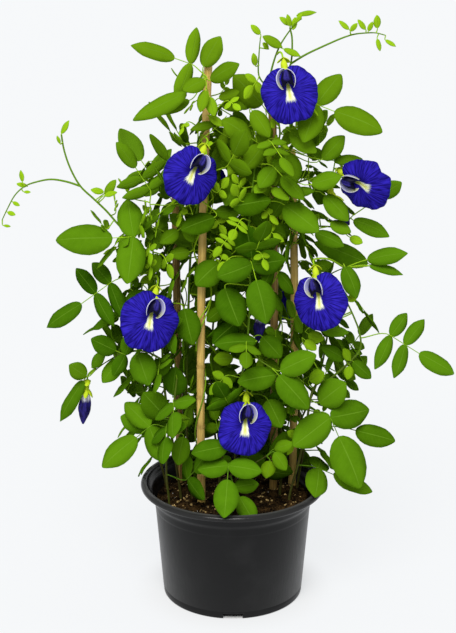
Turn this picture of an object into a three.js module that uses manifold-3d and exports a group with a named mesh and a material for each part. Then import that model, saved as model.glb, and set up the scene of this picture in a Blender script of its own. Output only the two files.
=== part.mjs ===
// A potted butterfly pea, a young climbing vine: leaves of one to five oval leaflets, broad
// violet-blue blooms, four bamboo canes and a 17 cm nursery pot. Millimetres, +Z up. The origin is
// the middle of the pot's underside, and -Y is the side that shows best.
import * as THREE from "three";
import { mergeVertices } from "three/addons/utils/BufferGeometryUtils.js";
import Module from "manifold-3d";

const wasm = await Module();
wasm.setup();

// Driving dimensions

const POT_HEIGHT = 110;
const RIM_RADIUS = 85;
const FOOT_RADIUS = 64.7;
const POT_FLOOR = 3;
const POT_SIDES = 32;
const NOTCH = { width: 18, height: 5, depth: 12, count: 4 };
const SOIL_LEVEL = 94;
const SOIL_SIDES = 18;
const LOWEST_ROOT = SOIL_LEVEL + 12;
const CANE_RADIUS = 3.7;
const CANE_SIDES = 8;
const SEAT_GAP = 0.35;
const LARGEST_SCRAP = 1;
const STEM_HOLE_SIDES = 5;
const STEM_RADIUS = 1.25;
const STALK_HALF_WIDTH = 0.75;
const STALK_HALF_THICKNESS = 0.6;
const ROOT_SLIMNESS = 0.45;
const BLADE_HALF_THICKNESS = 0.4;
const CLEARANCE = 1.4;
const RUFFLES = 7;
const RUFFLE_HEIGHT = 1.3;
const BLOOM_SIDES = 2 * RUFFLES;
const BANNER_HALF_THICKNESS = 0.45;
const BANNER_SWEEP = 5;
const CLEFT = 0.13;
const LOW_NOTCH = 0.06;
const THROAT = { height: 5, depth: 4.5, spread: 45 };
const KEEL = { height: 10.5, halfWidth: 5.6, halfLength: 7.7, halfDepth: 4.2 };
const UP = new THREE.Vector3(0, 0, 1);

// Each cane: its point at the soil, halfway up and at the top, the heights of its knuckles and of
// its lower end. The two by the wall stop where the pot narrows onto them.
const CANES = {
  front_left: {
    bottom: 14, foot: [-28.6, -18, 94], middle: [-28, -14, 277], top: [-21, -10, 492],
    knuckles: [168, 196, 225, 302, 398],
  },
  back_left: {
    bottom: 62, foot: [-49.5, 36, 94], middle: [-51, 38.5, 240], top: [-52, 42, 402],
    knuckles: [150, 236, 330],
  },
  centre_right: {
    bottom: 14, foot: [38, 15, 94], middle: [37, 15, 300], top: [34, 14, 455],
    knuckles: [176, 270, 362],
  },
  right: {
    bottom: 62, foot: [56, 25, 94], middle: [56.5, 27, 250], top: [52, 30, 412],
    knuckles: [160, 246, 338],
  },
};

// Small helpers

const vec = ([x, y, z]) => new THREE.Vector3(x, y, z);
const radians = THREE.MathUtils.degToRad;

// Turns a closed three.js geometry into a solid that can be joined and cut.
function solidOf(geometry) {
  const bare = geometry.clone();
  bare.deleteAttribute("normal");
  bare.deleteAttribute("uv");
  const merged = mergeVertices(bare, 1e-4);
  return new wasm.Manifold(new wasm.Mesh({
    numProp: 3,
    vertProperties: new Float32Array(merged.attributes.position.array),
    triVerts: new Uint32Array(merged.index.array),
  }));
}

function geometryOf(solid) {
  const { numProp, vertProperties, triVerts } = solid.getMesh();
  const positions = new Float32Array((vertProperties.length / numProp) * 3);
  for (let i = 0; i < positions.length / 3; i += 1) {
    positions.set(vertProperties.subarray(i * numProp, i * numProp + 3), i * 3);
  }
  const indexed = new THREE.BufferGeometry();
  indexed.setAttribute("position", new THREE.BufferAttribute(positions, 3));
  indexed.setIndex(new THREE.BufferAttribute(triVerts, 1));
  const faceted = indexed.toNonIndexed();
  faceted.computeVertexNormals();
  return faceted;
}

// Joins solids and keeps the one body that the largest of them belongs to.
function joined(solids) {
  const all = wasm.Manifold.union(solids);
  const bodies = all.decompose().sort((a, b) => b.volume() - a.volume());
  if (bodies.length > 1 && bodies[1].volume() > LARGEST_SCRAP) {
    throw new Error(`a piece at ${bodies[1].boundingBox().min} is not joined on`);
  }
  return bodies[0];
}

// Repeatable random numbers between 0 and 1.
function draws(seed) {
  let state = (seed * 7919) % 2147483647 || 1;
  const next = () => {
    state = (state * 16807) % 2147483647;
    return (state - 1) / 2147483646;
  };
  next();
  next();
  return next;
}

// Materials

const paint = (color, roughness) => new THREE.MeshStandardMaterial({ color, roughness, metalness: 0 });
const MATERIALS = {
  pot: paint("#26272a", 0.45),
  soil: paint("#3a2a20", 0.95),
  cane: paint("#b58a52", 0.6),
  leaf: paint("#4f8f1f", 0.55),
  petal: paint("#3a1fc4", 0.6),
  bud: paint("#241a6e", 0.65),
};

const plant = new THREE.Group();

function addPiece(name, solid, material) {
  const mesh = new THREE.Mesh(geometryOf(solid), material);
  mesh.name = name;
  plant.add(mesh);
}

// A lathe turned about +Z from [radius, height] points, bottom first.
function turned(profile, sides) {
  const points = profile.map(([radius, height]) => new THREE.Vector2(radius, height));
  return new THREE.LatheGeometry(points, sides).rotateX(Math.PI / 2);
}

// Pot: a tapered wall, a collar, and a rim flange with a rounded lip

function makePot() {
  const wall = solidOf(turned([
    [0, 0], [FOOT_RADIUS - 1.3, 0], [FOOT_RADIUS, 1.3], [72.1, 91.5], [75.3, 96.5],
    [75.9, 102.6], [84, 104], [RIM_RADIUS, 106.3], [84.6, 109], [82, POT_HEIGHT],
    [79.6, 109], [78.6, 105.5], [74, 102.2], [73.2, 96.9], [70, 91.8], [62.7, POT_FLOOR],
    [0, POT_FLOOR],
  ], POT_SIDES));
  const notches = [];
  for (let i = 0; i < NOTCH.count; i += 1) {
    const notch = new THREE.BoxGeometry(NOTCH.width, NOTCH.depth, NOTCH.height * 2);
    notch.translate(0, -FOOT_RADIUS, 0);
    notch.rotateZ((i * 2 * Math.PI) / NOTCH.count);
    notches.push(solidOf(notch));
  }
  return wall.subtract(wasm.Manifold.union(notches));
}

// Soil: a bumpy top inside the rim, with a plain hole for each cane and each stem

const soilBump = (x, y) =>
  1.5 * Math.sin(0.19 * x + 1.3) * Math.sin(0.23 * y + 0.4) + 0.9 * Math.sin(0.41 * x - 0.37 * y);

function makeSoil(holes) {
  const floor = POT_FLOOR + SEAT_GAP;
  const shape = turned([
    [0, floor], [62, floor], [69.1, 90.6], [69.9, SOIL_LEVEL - 1], [58, SOIL_LEVEL + 0.3],
    [38, SOIL_LEVEL], [18, SOIL_LEVEL + 0.4], [0, SOIL_LEVEL],
  ], SOIL_SIDES);
  const position = shape.getAttribute("position");
  for (let i = 0; i < position.count; i += 1) {
    if (position.getZ(i) > SOIL_LEVEL - 0.5) {
      position.setZ(i, position.getZ(i) + soilBump(position.getX(i), position.getY(i)));
    }
  }
  return solidOf(shape).subtract(wasm.Manifold.union(holes));
}

function holeFor(bottom, top, radius, sides) {
  const length = top.distanceTo(bottom);
  const hole = new THREE.CylinderGeometry(radius, radius, length, sides);
  hole.translate(0, length / 2, 0);
  hole.applyQuaternion(new THREE.Quaternion().setFromUnitVectors(
    new THREE.Vector3(0, 1, 0), top.clone().sub(bottom).normalize(),
  ));
  hole.translate(bottom.x, bottom.y, bottom.z);
  return solidOf(hole);
}

// Canes: slim bamboo with a low ring at each knuckle, bent through three points

// The middle of a cane at a height.
function caneAt({ foot, middle, top }, z) {
  const below = (z - middle[2]) * (z - top[2]) / ((foot[2] - middle[2]) * (foot[2] - top[2]));
  const within = (z - foot[2]) * (z - top[2]) / ((middle[2] - foot[2]) * (middle[2] - top[2]));
  const above = (z - foot[2]) * (z - middle[2]) / ((top[2] - foot[2]) * (top[2] - middle[2]));
  const mix = (axis) => foot[axis] * below + middle[axis] * within + top[axis] * above;
  return new THREE.Vector3(mix(0), mix(1), z);
}

function makeCane(cane, radius) {
  const profile = [[0, cane.bottom], [radius, cane.bottom]];
  for (const height of cane.knuckles) {
    profile.push([radius, height - 2.4], [radius + 0.45, height], [radius, height + 1.6]);
  }
  profile.push([radius * 0.94, cane.top[2]], [0, cane.top[2]]);
  const shape = turned(profile, CANE_SIDES);
  const position = shape.getAttribute("position");
  for (let i = 0; i < position.count; i += 1) {
    const middle = caneAt(cane, position.getZ(i));
    position.setX(i, position.getX(i) + middle.x);
    position.setY(i, position.getY(i) + middle.y);
  }
  return solidOf(shape);
}

// The plant's growth, chosen by hand. A vine has a main stem that rises from the soil, side
// shoots, and leaves: [heel, tip, leaflets, slimness]. The heel is where the first pair of leaflets
// sits, and slimness is a leaflet's width as a share of its length. A winding runs [cane, from
// height, to height, turns, first angle]. Filling leaves spring from the stem at its spacing.

const VINES = {
  left: {
    spacing: 150,
    stem: [[-48, -10, 78], [-48, -10, 98], [-55, -8, 150], [-62, -7, 205], [-64, -6, 260],
      [-69, -9, 305], [-74, -10, 327], [-88, -10, 341], [-100, -10, 354], [-110, -10, 366],
      [-121, -10, 377], [-132, -10, 388], [-140, -10, 403], [-145, -10, 419], [-147, -10, 433]],
    shoots: [
      [[-132, -10, 388], [-144, -10, 392], [-157, -10, 394], [-169, -10, 392], [-180, -10, 388],
        [-189, -10, 380], [-196, -10, 368], [-201, -10, 358]],
      [[-69, -9, 305], [-70, -12, 330], [-71, -12, 352], [-72, -12, 374]],
      [[-63, -7, 228], [-78, -18, 240], [-96, -20, 240], [-112, -16, 230], [-122, -14, 222]],
    ],
    leaves: [
      [[-86, -22, 343], [-152, -30, 341], 3, 0.54], [[-72, -12, 386], [-98, -20, 429], 5, 0.42],
      [[-112, -10, 383], [-123, -12, 385], 1, 0.5], [[-111, -8, 383], [-102, -10, 398], 1, 0.45],
      [[-111, -12, 385], [-100, -14, 389], 1, 0.4], [[-108, -14, 302], [-166, -8, 258], 5, 0.38],
      [[-77, -12, 294], [-97, -18, 277], 1, 0.6], [[-95, -30, 241], [-124, -38, 257], 3, 0.66],
      [[-134, -14, 211], [-157, -6, 167], 1, 0.28], [[-131, -16, 216], [-146, -20, 227], 1, 0.82],
      [[-126, -16, 221], [-114, -22, 237], 1, 0.52], [[-99, -26, 236], [-115, -32, 215], 1, 0.57],
      [[-84, -34, 244], [-73, -42, 217], 1, 0.74], [[-74, -16, 220], [-55, -20, 231], 1, 0.7],
      [[-73, 0, 323], [-85, 2, 305], 1, 0.6], [[-43, -22, 281], [-35, -30, 250], 1, 0.64],
      [[-66, -8, 329], [-71, -12, 312], 1, 0.7], [[-69, -4, 305], [-82, -8, 302], 1, 0.6],
      [[-147, -10, 434], [-140, -10, 445], 1, 0.42], [[-148, -10, 426], [-150, -11, 433], 1, 0.42],
      [[-181, -10, 387], [-175, -12, 387], 1, 0.4], [[-182, -10, 388], [-183, -10, 398], 1, 0.42],
      [[-191, -10, 374], [-185, -12, 371], 1, 0.5], [[-179, -9, 387], [-188, -8, 389], 1, 0.4],
      [[-196, -10, 365], [-189, -12, 363], 1, 0.5], [[-200, -10, 357], [-194, -9, 356], 1, 0.42],
    ],
  },
  left_low: {
    spacing: 150,
    stem: [[-58, -26, 78], [-58, -26, 98], [-60, -30, 130], [-58, -32, 165], [-53, -28, 192],
      [-50, -20, 215]],
    shoots: [],
    leaves: [
      [[-74, -40, 177], [-117, -48, 142], 3, 0.54], [[-60, -34, 184], [-79, -38, 208], 1, 0.74],
      [[-40, -26, 177], [-58, -30, 173], 1, 0.82], [[-44, -34, 165], [-50, -44, 142], 1, 0.64],
      [[-54, -10, 197], [-50, -12, 224], 1, 0.8], [[-75, -22, 173], [-100, -26, 186], 1, 0.68],
    ],
  },
  cane_left: {
    spacing: 150,
    stem: [[-38, -4, 78], [-38, -4, 98], [-42, 4, 150], [-42, 7, 210], [-40, 7, 270],
      [-37, 4, 330], ["front_left", 368, 486, 2.25, 140]],
    shoots: [],
    leaves: [
      [[-36, -14, 494], [-84, -30, 513], 3, 0.36], [[-25, -16, 492], [-12, -20, 518], 1, 0.62],
      [[-39, -26, 472], [-83, -34, 449], 1, 0.33], [[-37, -20, 464], [-66, -26, 453], 1, 0.33],
      [[-19, -20, 481], [4, -28, 497], 1, 0.5], [[-24, -32, 483], [-41, -40, 475], 1, 0.68],
      [[-12, -14, 465], [5, -18, 472], 1, 0.5], [[-10, -10, 459], [11, -14, 458], 1, 0.5],
      [[-16, -30, 365], [-44, -40, 356], 1, 0.6], [[-42, -18, 355], [-63, -26, 341], 3, 0.68],
      [[-38, -16, 331], [-55, -22, 330], 1, 0.68], [[-15, -22, 445], [-36, -30, 441], 1, 0.35],
      [[-20, -26, 448], [-8, -32, 440], 1, 0.42], [[-20, -33, 469], [-16, -40, 454], 1, 0.55],
      [[-23, -36, 479], [-28, -42, 462], 1, 0.5], [[-12, -46, 323], [-33, -54, 306], 1, 0.8],
    ],
  },
  middle: {
    spacing: 150,
    stem: [[4, -18, 78], [4, -18, 98], [2, -24, 145], [5, -27, 200], [12, -31, 250],
      [15, -34, 300], [13, -33, 345], [16, -26, 385], [21, -22, 425]],
    shoots: [[[12, -31, 250], [22, -38, 240], [34, -46, 234]]],
    leaves: [
      [[25, -24, 426], [-9, -34, 450], 3, 0.64], [[11, -22, 407], [-8, -30, 375], 3, 0.58],
      [[0, -36, 376], [32, -42, 382], 1, 0.6], [[16, -46, 328], [30, -56, 278], 3, 0.64],
      [[16, -42, 332], [12, -46, 362], 1, 0.74], [[-7, -40, 305], [4, -50, 273], 1, 0.72],
      [[44, -30, 376], [72, -40, 354], 1, 0.64], [[20, -30, 256], [-16, -36, 257], 1, 0.46],
      [[4, -20, 268], [-19, -26, 251], 1, 0.62], [[26, -22, 255], [42, -28, 237], 1, 0.8],
      [[40, -48, 228], [65, -58, 200], 1, 0.62], [[41, -44, 231], [72, -50, 247], 1, 0.56],
      [[38, -44, 231], [4, -52, 228], 1, 0.62], [[4, -30, 207], [-19, -36, 199], 1, 0.7],
      [[31, -34, 200], [43, -42, 177], 1, 0.78], [[4, -14, 217], [-16, -18, 215], 1, 0.78],
      [[0, -24, 236], [-17, -28, 236], 1, 0.72], [[16, -30, 457], [31, -36, 436], 1, 0.58],
      [[25, -12, 457], [0, -16, 482], 1, 0.72],
    ],
  },
  front_low: {
    spacing: 150,
    stem: [[-10, -42, 78], [-10, -42, 98], [-12, -42, 125], [-8, -38, 155], [2, -36, 185],
      [14, -36, 205]],
    shoots: [[[-12, -42, 125], [0, -46, 134], [16, -44, 142], [30, -42, 150]]],
    leaves: [
      [[-4, -62, 149], [-7, -92, 113], 3, 0.62], [[-5, -56, 169], [-36, -64, 165], 1, 0.58],
      [[37, -38, 155], [53, -44, 163], 1, 0.62], [[37, -44, 154], [48, -48, 139], 1, 0.68],
      [[33, -42, 145], [30, -46, 130], 1, 0.78],
    ],
  },
  cane_middle: {
    spacing: 150,
    stem: [[44, 2, 78], [44, 2, 98], [47, 6, 140], ["centre_right", 168, 440, 3.25, 300],
      [41, 8, 453], [38, 5, 465], [42, 2, 480], [49, 0, 492], [50, 0, 512], [48, 0, 522]],
    shoots: [
      [[42, 2, 480], [30, 0, 474], [22, 0, 482], [22, 0, 500], [23, 0, 513]],
      [[30, 0, 474], [34, 0, 492], [40, 0, 508], [51, 0, 524], [58, 0, 530]],
      [[49, 0, 492], [62, 0, 500], [79, 0, 508], [93, 0, 514], [103, 0, 517], [113, 0, 518],
        [121, 0, 518], [129, 0, 516]],
    ],
    leaves: [
      [[45, -10, 418], [46, -18, 386], 1, 0.84], [[71, -10, 459], [127, -22, 439], 3, 0.53],
      [[77, -6, 411], [96, -10, 431], 1, 0.55], [[87, -2, 409], [112, -4, 410], 1, 0.36],
      [[42, -2, 424], [55, -8, 436], 1, 0.55], [[49, -8, 382], [71, -12, 384], 1, 0.4],
      [[80, -6, 379], [100, -14, 358], 1, 0.6], [[49, -12, 432], [71, -18, 415], 1, 0.58],
      [[68, -4, 386], [93, -8, 394], 1, 0.58], [[23, 0, 513], [15, -2, 521], 1, 0.5],
      [[19, 0, 491], [17, -3, 502], 1, 0.42], [[41, 0, 507], [25, -3, 516], 1, 0.45],
      [[30, 0, 505], [25, -3, 510], 1, 0.6], [[43, 0, 505], [57, -4, 500], 1, 0.36],
      [[54, 0, 529], [70, 0, 532], 1, 0.28], [[52, 0, 527], [58, -2, 535], 1, 0.34],
      [[51, 0, 525], [52, 2, 535], 1, 0.46], [[48, 0, 525], [39, -2, 531], 1, 0.5],
      [[48, 0, 524], [45, -3, 534], 1, 0.45], [[98, 0, 521], [89, 0, 528], 1, 0.42],
      [[99, 0, 520], [104, -2, 527], 1, 0.5], [[112, 0, 521], [105, -1, 529], 1, 0.5],
      [[114, 0, 520], [117, -1, 528], 1, 0.45], [[122, 0, 518], [121, -1, 529], 1, 0.62],
      [[122, 0, 517], [125, -1, 507], 1, 0.45], [[129, 0, 516], [138, -1, 511], 1, 0.42],
    ],
  },
  cane_right: {
    spacing: 105,
    stem: [[61, 17, 78], [61, 17, 98], [67, 20, 140], ["right", 165, 396, 2.5, 320],
      [45, 29, 404], [47, 21, 411], [55, 16, 420], [62, 12, 430]],
    shoots: [
      [[64, 27, 272], [75, 22, 288], [87, 14, 302], [99, 4, 311]],
      [[66, 30, 340], [80, 20, 345], [96, 12, 347], [106, 11, 357]],
      [[62, 28, 385], [78, 16, 392], [94, 10, 396]],
    ],
    leaves: [
      [[129, 6, 375], [146, 0, 390], 1, 0.6], [[107, 14, 352], [139, 6, 341], 1, 0.42],
      [[122, 26, 309], [73, 22, 328], 1, 0.38], [[119, 2, 319], [153, -6, 329], 1, 0.42],
      [[121, 0, 318], [151, -2, 312], 1, 0.26], [[98, -14, 317], [110, -22, 291], 1, 0.58],
      [[109, -10, 289], [101, -12, 285], 1, 0.8], [[70, 6, 310], [88, 2, 316], 1, 0.6],
      [[72, -8, 346], [97, -16, 337], 1, 0.48], [[85, -4, 355], [103, -8, 348], 1, 0.6],
      [[103, 0, 340], [114, -4, 336], 1, 0.7],
    ],
  },
  right: {
    spacing: 150,
    stem: [[52, -14, 78], [52, -14, 98], [60, -18, 135], [66, -20, 170], [72, -18, 205],
      [86, -14, 212], [98, -10, 221], [105, -8, 227], [114, -8, 239], [113, -8, 254],
      [108, -8, 268], [101, -8, 283]],
    shoots: [],
    leaves: [
      [[141, -6, 251], [199, -8, 214], 5, 0.45], [[100, -8, 229], [79, -12, 244], 1, 0.47],
      [[105, -10, 229], [99, -12, 241], 1, 0.6], [[105, -8, 228], [102, -12, 217], 1, 0.72],
      [[108, -8, 227], [124, -10, 211], 1, 0.6], [[68, -24, 215], [81, -28, 223], 1, 0.8],
      [[87, -30, 178], [114, -50, 118], 3, 0.62], [[111, -16, 164], [147, -18, 153], 1, 0.55],
      [[79, -18, 260], [102, -22, 258], 1, 0.45], [[67, -18, 256], [80, -22, 252], 1, 0.78],
      [[64, -26, 253], [73, -30, 245], 1, 0.72], [[77, -22, 189], [100, -30, 210], 1, 0.8],
    ],
  },
  cane_back: {
    spacing: 62,
    stem: [[-46, 32, 78], [-46, 32, 98], [-45, 34, 130], ["back_left", 150, 388, 2.5, 310]],
    shoots: [],
    leaves: [],
  },
  back_left: {
    spacing: 56,
    stem: [[-12, 40, 78], [-12, 40, 98], [-18, 46, 150], [-20, 50, 215], [-14, 50, 285],
      [-6, 44, 350], [2, 38, 405], [4, 32, 440]],
    shoots: [],
    leaves: [],
  },
  back_right: {
    spacing: 50,
    stem: [[24, 48, 78], [24, 48, 98], [28, 54, 150], [30, 58, 220], [26, 54, 290], [24, 46, 350]],
    shoots: [],
    leaves: [],
  },
  side_left: {
    spacing: 58,
    stem: [[-62, 13, 78], [-62, 13, 98], [-74, 21, 145], [-84, 28, 200], [-86, 28, 250],
      [-82, 24, 290]],
    shoots: [],
    leaves: [],
  },
  side_right: {
    spacing: 58,
    stem: [[45, 45, 78], [45, 45, 98], [61, 49, 140], [80, 46, 190], [88, 40, 240], [90, 34, 285]],
    shoots: [],
    leaves: [],
  },
};

// Open blooms: the middle of the banner, its width and height, the way it faces, and the way its
// throat lies.
const BLOOMS = [
  {
    vine: "cane_middle", centre: [47, -35, 472], size: [50, 52],
    face: [-0.05, -1, 0.25], crown: [-0.2, 0.2, 1],
  },
  {
    vine: "cane_left", centre: [-34, -52, 406], size: [49, 52],
    face: [0.42, -1, 0.2], crown: [0.7, 0.3, 1],
  },
  {
    vine: "cane_right", centre: [111, -22, 390], size: [50, 50],
    face: [-0.49, -0.83, -0.25], crown: [-0.94, 0.48, 0.22],
  },
  {
    vine: "left", centre: [-71, -52, 278], size: [54, 56],
    face: [0.35, -1, 0.2], crown: [0.35, 0.2, 1],
  },
  {
    vine: "cane_right", centre: [73, -48, 295], size: [52, 53],
    face: [-0.5, -1, 0.2], crown: [-0.33, 0.2, 1],
  },
  {
    vine: "middle", centre: [11, -60, 183], size: [49, 52],
    face: [0.2, -1, 0.25], crown: [0.12, 0.25, 1],
  },
  {
    vine: "back_left", centre: [-30, 78, 372], size: [48, 51],
    face: [-0.3, 1, 0.3], crown: [0.1, -0.3, 1],
  },
  {
    vine: "back_right", centre: [44, 84, 262], size: [48, 51],
    face: [0.3, 1, 0.25], crown: [-0.2, -0.3, 1],
  },
];

// Closed blooms: where the green cup ends, and the tip.
const BUDS = [
  { vine: "cane_right", base: [89, 0, 375], tip: [102, 0, 351], radius: 5.5 },
  { vine: "middle", base: [25, -16, 276], tip: [22, -16, 248], radius: 5 },
  { vine: "left", base: [-132, -10, 200], tip: [-136, -10, 168], radius: 5.5 },
];
const CUP_LENGTH = 10;

// Stems

// Points around a cane, from one height to another.
function winding([name, from, to, turns, firstAngle]) {
  const steps = Math.ceil(turns * 8);
  const points = [];
  for (let i = 0; i <= steps; i += 1) {
    const z = from + ((to - from) * i) / steps;
    const angle = radians(firstAngle + (360 * turns * i) / steps);
    const middle = caneAt(CANES[name], z);
    const reach = CANE_RADIUS + STEM_RADIUS + 1.5;
    points.push([middle.x + reach * Math.cos(angle), middle.y + reach * Math.sin(angle), z]);
  }
  return points;
}

function routeOf(stem) {
  return stem.flatMap((entry) => (typeof entry[0] === "string" ? winding(entry) : [entry])).map(vec);
}

// A smooth curve whose stations lie at its own points, and not at even distances.
class Route extends THREE.CatmullRomCurve3 {
  constructor(points) {
    super(points, false, "catmullrom", 0.5);
  }

  getPointAt(share, target) {
    return this.getPoint(share, target);
  }

  getTangentAt(share, target) {
    return this.getTangent(share, target);
  }
}

// A tube along points, with a few flat sides.
function tube(points, radius, sides, stepsPerSpan) {
  const ring = [];
  for (let i = 0; i < sides; i += 1) {
    const angle = (2 * Math.PI * i) / sides;
    ring.push(new THREE.Vector2(radius * Math.cos(angle), radius * Math.sin(angle)));
  }
  return solidOf(new THREE.ExtrudeGeometry(new THREE.Shape(ring), {
    steps: (points.length - 1) * stepsPerSpan,
    bevelEnabled: false,
    extrudePath: new Route(points),
  }));
}

// The point of a vine's stems that lies nearest to a place, clear of the pot's rim.
function nearestOn(routes, place) {
  let best = null;
  for (const route of routes) {
    for (let i = 0; i + 1 < route.length; i += 1) {
      const span = new THREE.Line3(route[i], route[i + 1]);
      const point = span.closestPointToPoint(place, true, new THREE.Vector3());
      const distance = point.distanceTo(place);
      if (point.z > LOWEST_ROOT && (!best || distance < best.distance)) best = { point, distance };
    }
  }
  return best.point;
}

// Leaves

// A thin closed sheet: a middle surface of points and faces, thickened to both sides.
class Sheet {
  constructor() {
    this.points = [];
    this.halves = [];
    this.faces = [];
  }

  point(place, half) {
    this.points.push(place.clone());
    this.halves.push(half);
    return this.points.length - 1;
  }

  solid() {
    const normals = this.points.map(() => new THREE.Vector3());
    const edges = new Set();
    for (const [a, b, c] of this.faces) {
      const [pa, pb, pc] = [this.points[a], this.points[b], this.points[c]];
      const normal = pb.clone().sub(pa).cross(pc.clone().sub(pa));
      for (const corner of [a, b, c]) normals[corner].add(normal);
      for (const [from, to] of [[a, b], [b, c], [c, a]]) edges.add(`${from} ${to}`);
    }
    const count = this.points.length;
    const positions = new Float32Array(count * 6);
    this.points.forEach((point, i) => {
      const offset = normals[i].normalize().multiplyScalar(this.halves[i]);
      positions.set(point.clone().add(offset).toArray(), i * 3);
      positions.set(point.clone().sub(offset).toArray(), (count + i) * 3);
    });
    const index = [];
    for (const [a, b, c] of this.faces) {
      index.push(a, b, c, c + count, b + count, a + count);
    }
    for (const edge of edges) {
      const [from, to] = edge.split(" ").map(Number);
      if (!edges.has(`${to} ${from}`)) {
        index.push(from, from + count, to + count, from, to + count, to);
      }
    }
    const shape = new THREE.BufferGeometry();
    shape.setAttribute("position", new THREE.BufferAttribute(positions, 3));
    shape.setIndex(index);
    return solidOf(shape);
  }
}

// Half the width of a leaflet's oval outline, as a share of its half width.
const ovalAt = (along) => Math.sin(Math.PI * along ** 0.9) ** 0.52;
const RIB_SHARE = { 1: 0, 3: 0.27, 5: 0.45 };
const LEAFLET_BOW = 0.05;
const LEAFLET_FOLD = 0.16;
const SMALL_LEAFLET = 17;
const LARGE_LEAFLET = 37;
const TINY_LEAFLET = 13;

// Where a leaf's stalk, rib and leaflets lie. The first draw of the leaf's seed goes to the first
// pair, and so on outwards.
function planLeaf(routes, [heelAt, tipAt, count, slimness], facing, seed) {
  const draw = draws(seed);
  const heel = vec(heelAt);
  const tip = vec(tipAt);
  const ahead = tip.clone().sub(heel).normalize();
  const up = facing.clone().addScaledVector(ahead, -facing.dot(ahead)).normalize();
  const left = up.clone().cross(ahead);
  const pairs = (count - 1) / 2;
  const rib = heel.distanceTo(tip) * RIB_SHARE[count];
  const ribEnd = heel.clone().addScaledVector(ahead, rib);
  const size = tip.distanceTo(ribEnd);
  const widest = pairs ? (rib / pairs) * (pairs > 1 ? 0.88 : 1.5) : 0;
  const leaflets = [];
  for (let pair = 0; pair < pairs; pair += 1) {
    for (const side of [1, -1]) {
      const spread = radians(2 + 15 * draw());
      const droop = radians(-6 + 24 * draw());
      const length = size * (0.8 + 0.1 * draw());
      const across = left.clone().multiplyScalar(side * Math.cos(droop));
      across.addScaledVector(up, -Math.sin(droop));
      const way = across.clone().multiplyScalar(Math.cos(spread));
      way.addScaledVector(ahead, Math.sin(spread));
      const normal = ahead.clone().cross(across).multiplyScalar(side);
      leaflets.push({
        base: heel.clone().addScaledVector(ahead, (rib * pair) / pairs), pair, side,
        way, normal: normal.normalize(), length,
        width: Math.min(length * (slimness + 0.06 * draw()), widest),
      });
    }
  }
  leaflets.push({
    base: ribEnd, pair: pairs, side: 0, way: ahead, normal: up,
    length: size, width: size * (slimness + 0.06 * draw()),
  });
  return { root: nearestOn(routes, heel), heel, ribEnd, ahead, up, left, rib, pairs, leaflets, size };
}

// A place on a leaflet: along is 0 to 1 from its base, across is -1 to 1.
function onLeaflet({ base, way, normal, length, width }, along, across) {
  const side = way.clone().cross(normal);
  const half = (width / 2) * ovalAt(along);
  const rise = length * LEAFLET_BOW * 4 * along * (1 - along) - half * LEAFLET_FOLD * Math.abs(across);
  return base.clone()
    .addScaledVector(way, length * along)
    .addScaledVector(side, half * across)
    .addScaledVector(normal, rise);
}

// How far along its length a leaflet's outline has points on each side. A large leaflet has a
// point at its end too, and smaller ones end bluntly between their last two points.
function stationsOf(length) {
  if (length < TINY_LEAFLET) return [0.45];
  return length < LARGE_LEAFLET ? [0.38, 0.93] : [0.2, 0.55, 0.88];
}

// Adds one leaflet to a sheet, from an edge of the rib that runs from first to second.
function addLeaflet(sheet, leaflet, first, second, grow) {
  const stations = stationsOf(leaflet.length);
  const wider = { ...leaflet, width: leaflet.width + 2 * grow, length: leaflet.length + grow };
  const half = BLADE_HALF_THICKNESS + grow;
  const ring = [first, second];
  for (const along of stations) ring.push(sheet.point(onLeaflet(wider, along, 1), half));
  if (leaflet.length < TINY_LEAFLET || leaflet.length > LARGE_LEAFLET) {
    ring.push(sheet.point(onLeaflet(wider, 1, 0), half));
  }
  for (const along of [...stations].reverse()) ring.push(sheet.point(onLeaflet(wider, along, -1), half));
  if (leaflet.length < LARGE_LEAFLET) {
    for (let i = 2; i < ring.length; i += 1) sheet.faces.push([ring[0], ring[i - 1], ring[i]]);
    return;
  }
  const middle = sheet.point(onLeaflet(wider, 0.5, 0), half);
  ring.forEach((corner, i) => sheet.faces.push([middle, corner, ring[(i + 1) % ring.length]]));
}

// The stalk from the stem and the rib: stations with the way to the left at each.
function stalkStations({ root, heel, ribEnd, ahead, left, rib, pairs, size }) {
  const half = size > SMALL_LEAFLET ? 1.25 : 0.8;
  const reach = root.distanceTo(heel);
  const places = [root];
  if (reach > 14) {
    const outward = heel.clone().sub(root).normalize();
    const bend = new THREE.CubicBezierCurve3(
      root, root.clone().addScaledVector(outward, reach * 0.35),
      heel.clone().addScaledVector(ahead, -reach * 0.35), heel,
    );
    places.push(bend.getPoint(0.5));
  }
  for (let pair = 0; pair < pairs; pair += 1) {
    const middle = heel.clone().addScaledVector(ahead, (rib * pair) / pairs);
    places.push(middle.clone().addScaledVector(ahead, -half));
    places.push(middle.clone().addScaledVector(ahead, half));
  }
  places.push(ribEnd.clone());
  const lefts = places.map(() => left.clone());
  const ways = places.map((place, i) => {
    const next = places[Math.min(i + 1, places.length - 1)];
    const before = places[Math.max(i - 1, 0)];
    return next.clone().sub(before).normalize();
  });
  for (let i = places.length - 2; i >= 0; i -= 1) {
    const turn = new THREE.Quaternion().setFromUnitVectors(ways[i + 1], ways[i]);
    lefts[i] = lefts[i + 1].clone().applyQuaternion(turn);
    lefts[i].addScaledVector(ways[i], -lefts[i].dot(ways[i])).normalize();
  }
  return places.map((place, i) => ({ place, left: lefts[i] }));
}

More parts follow.
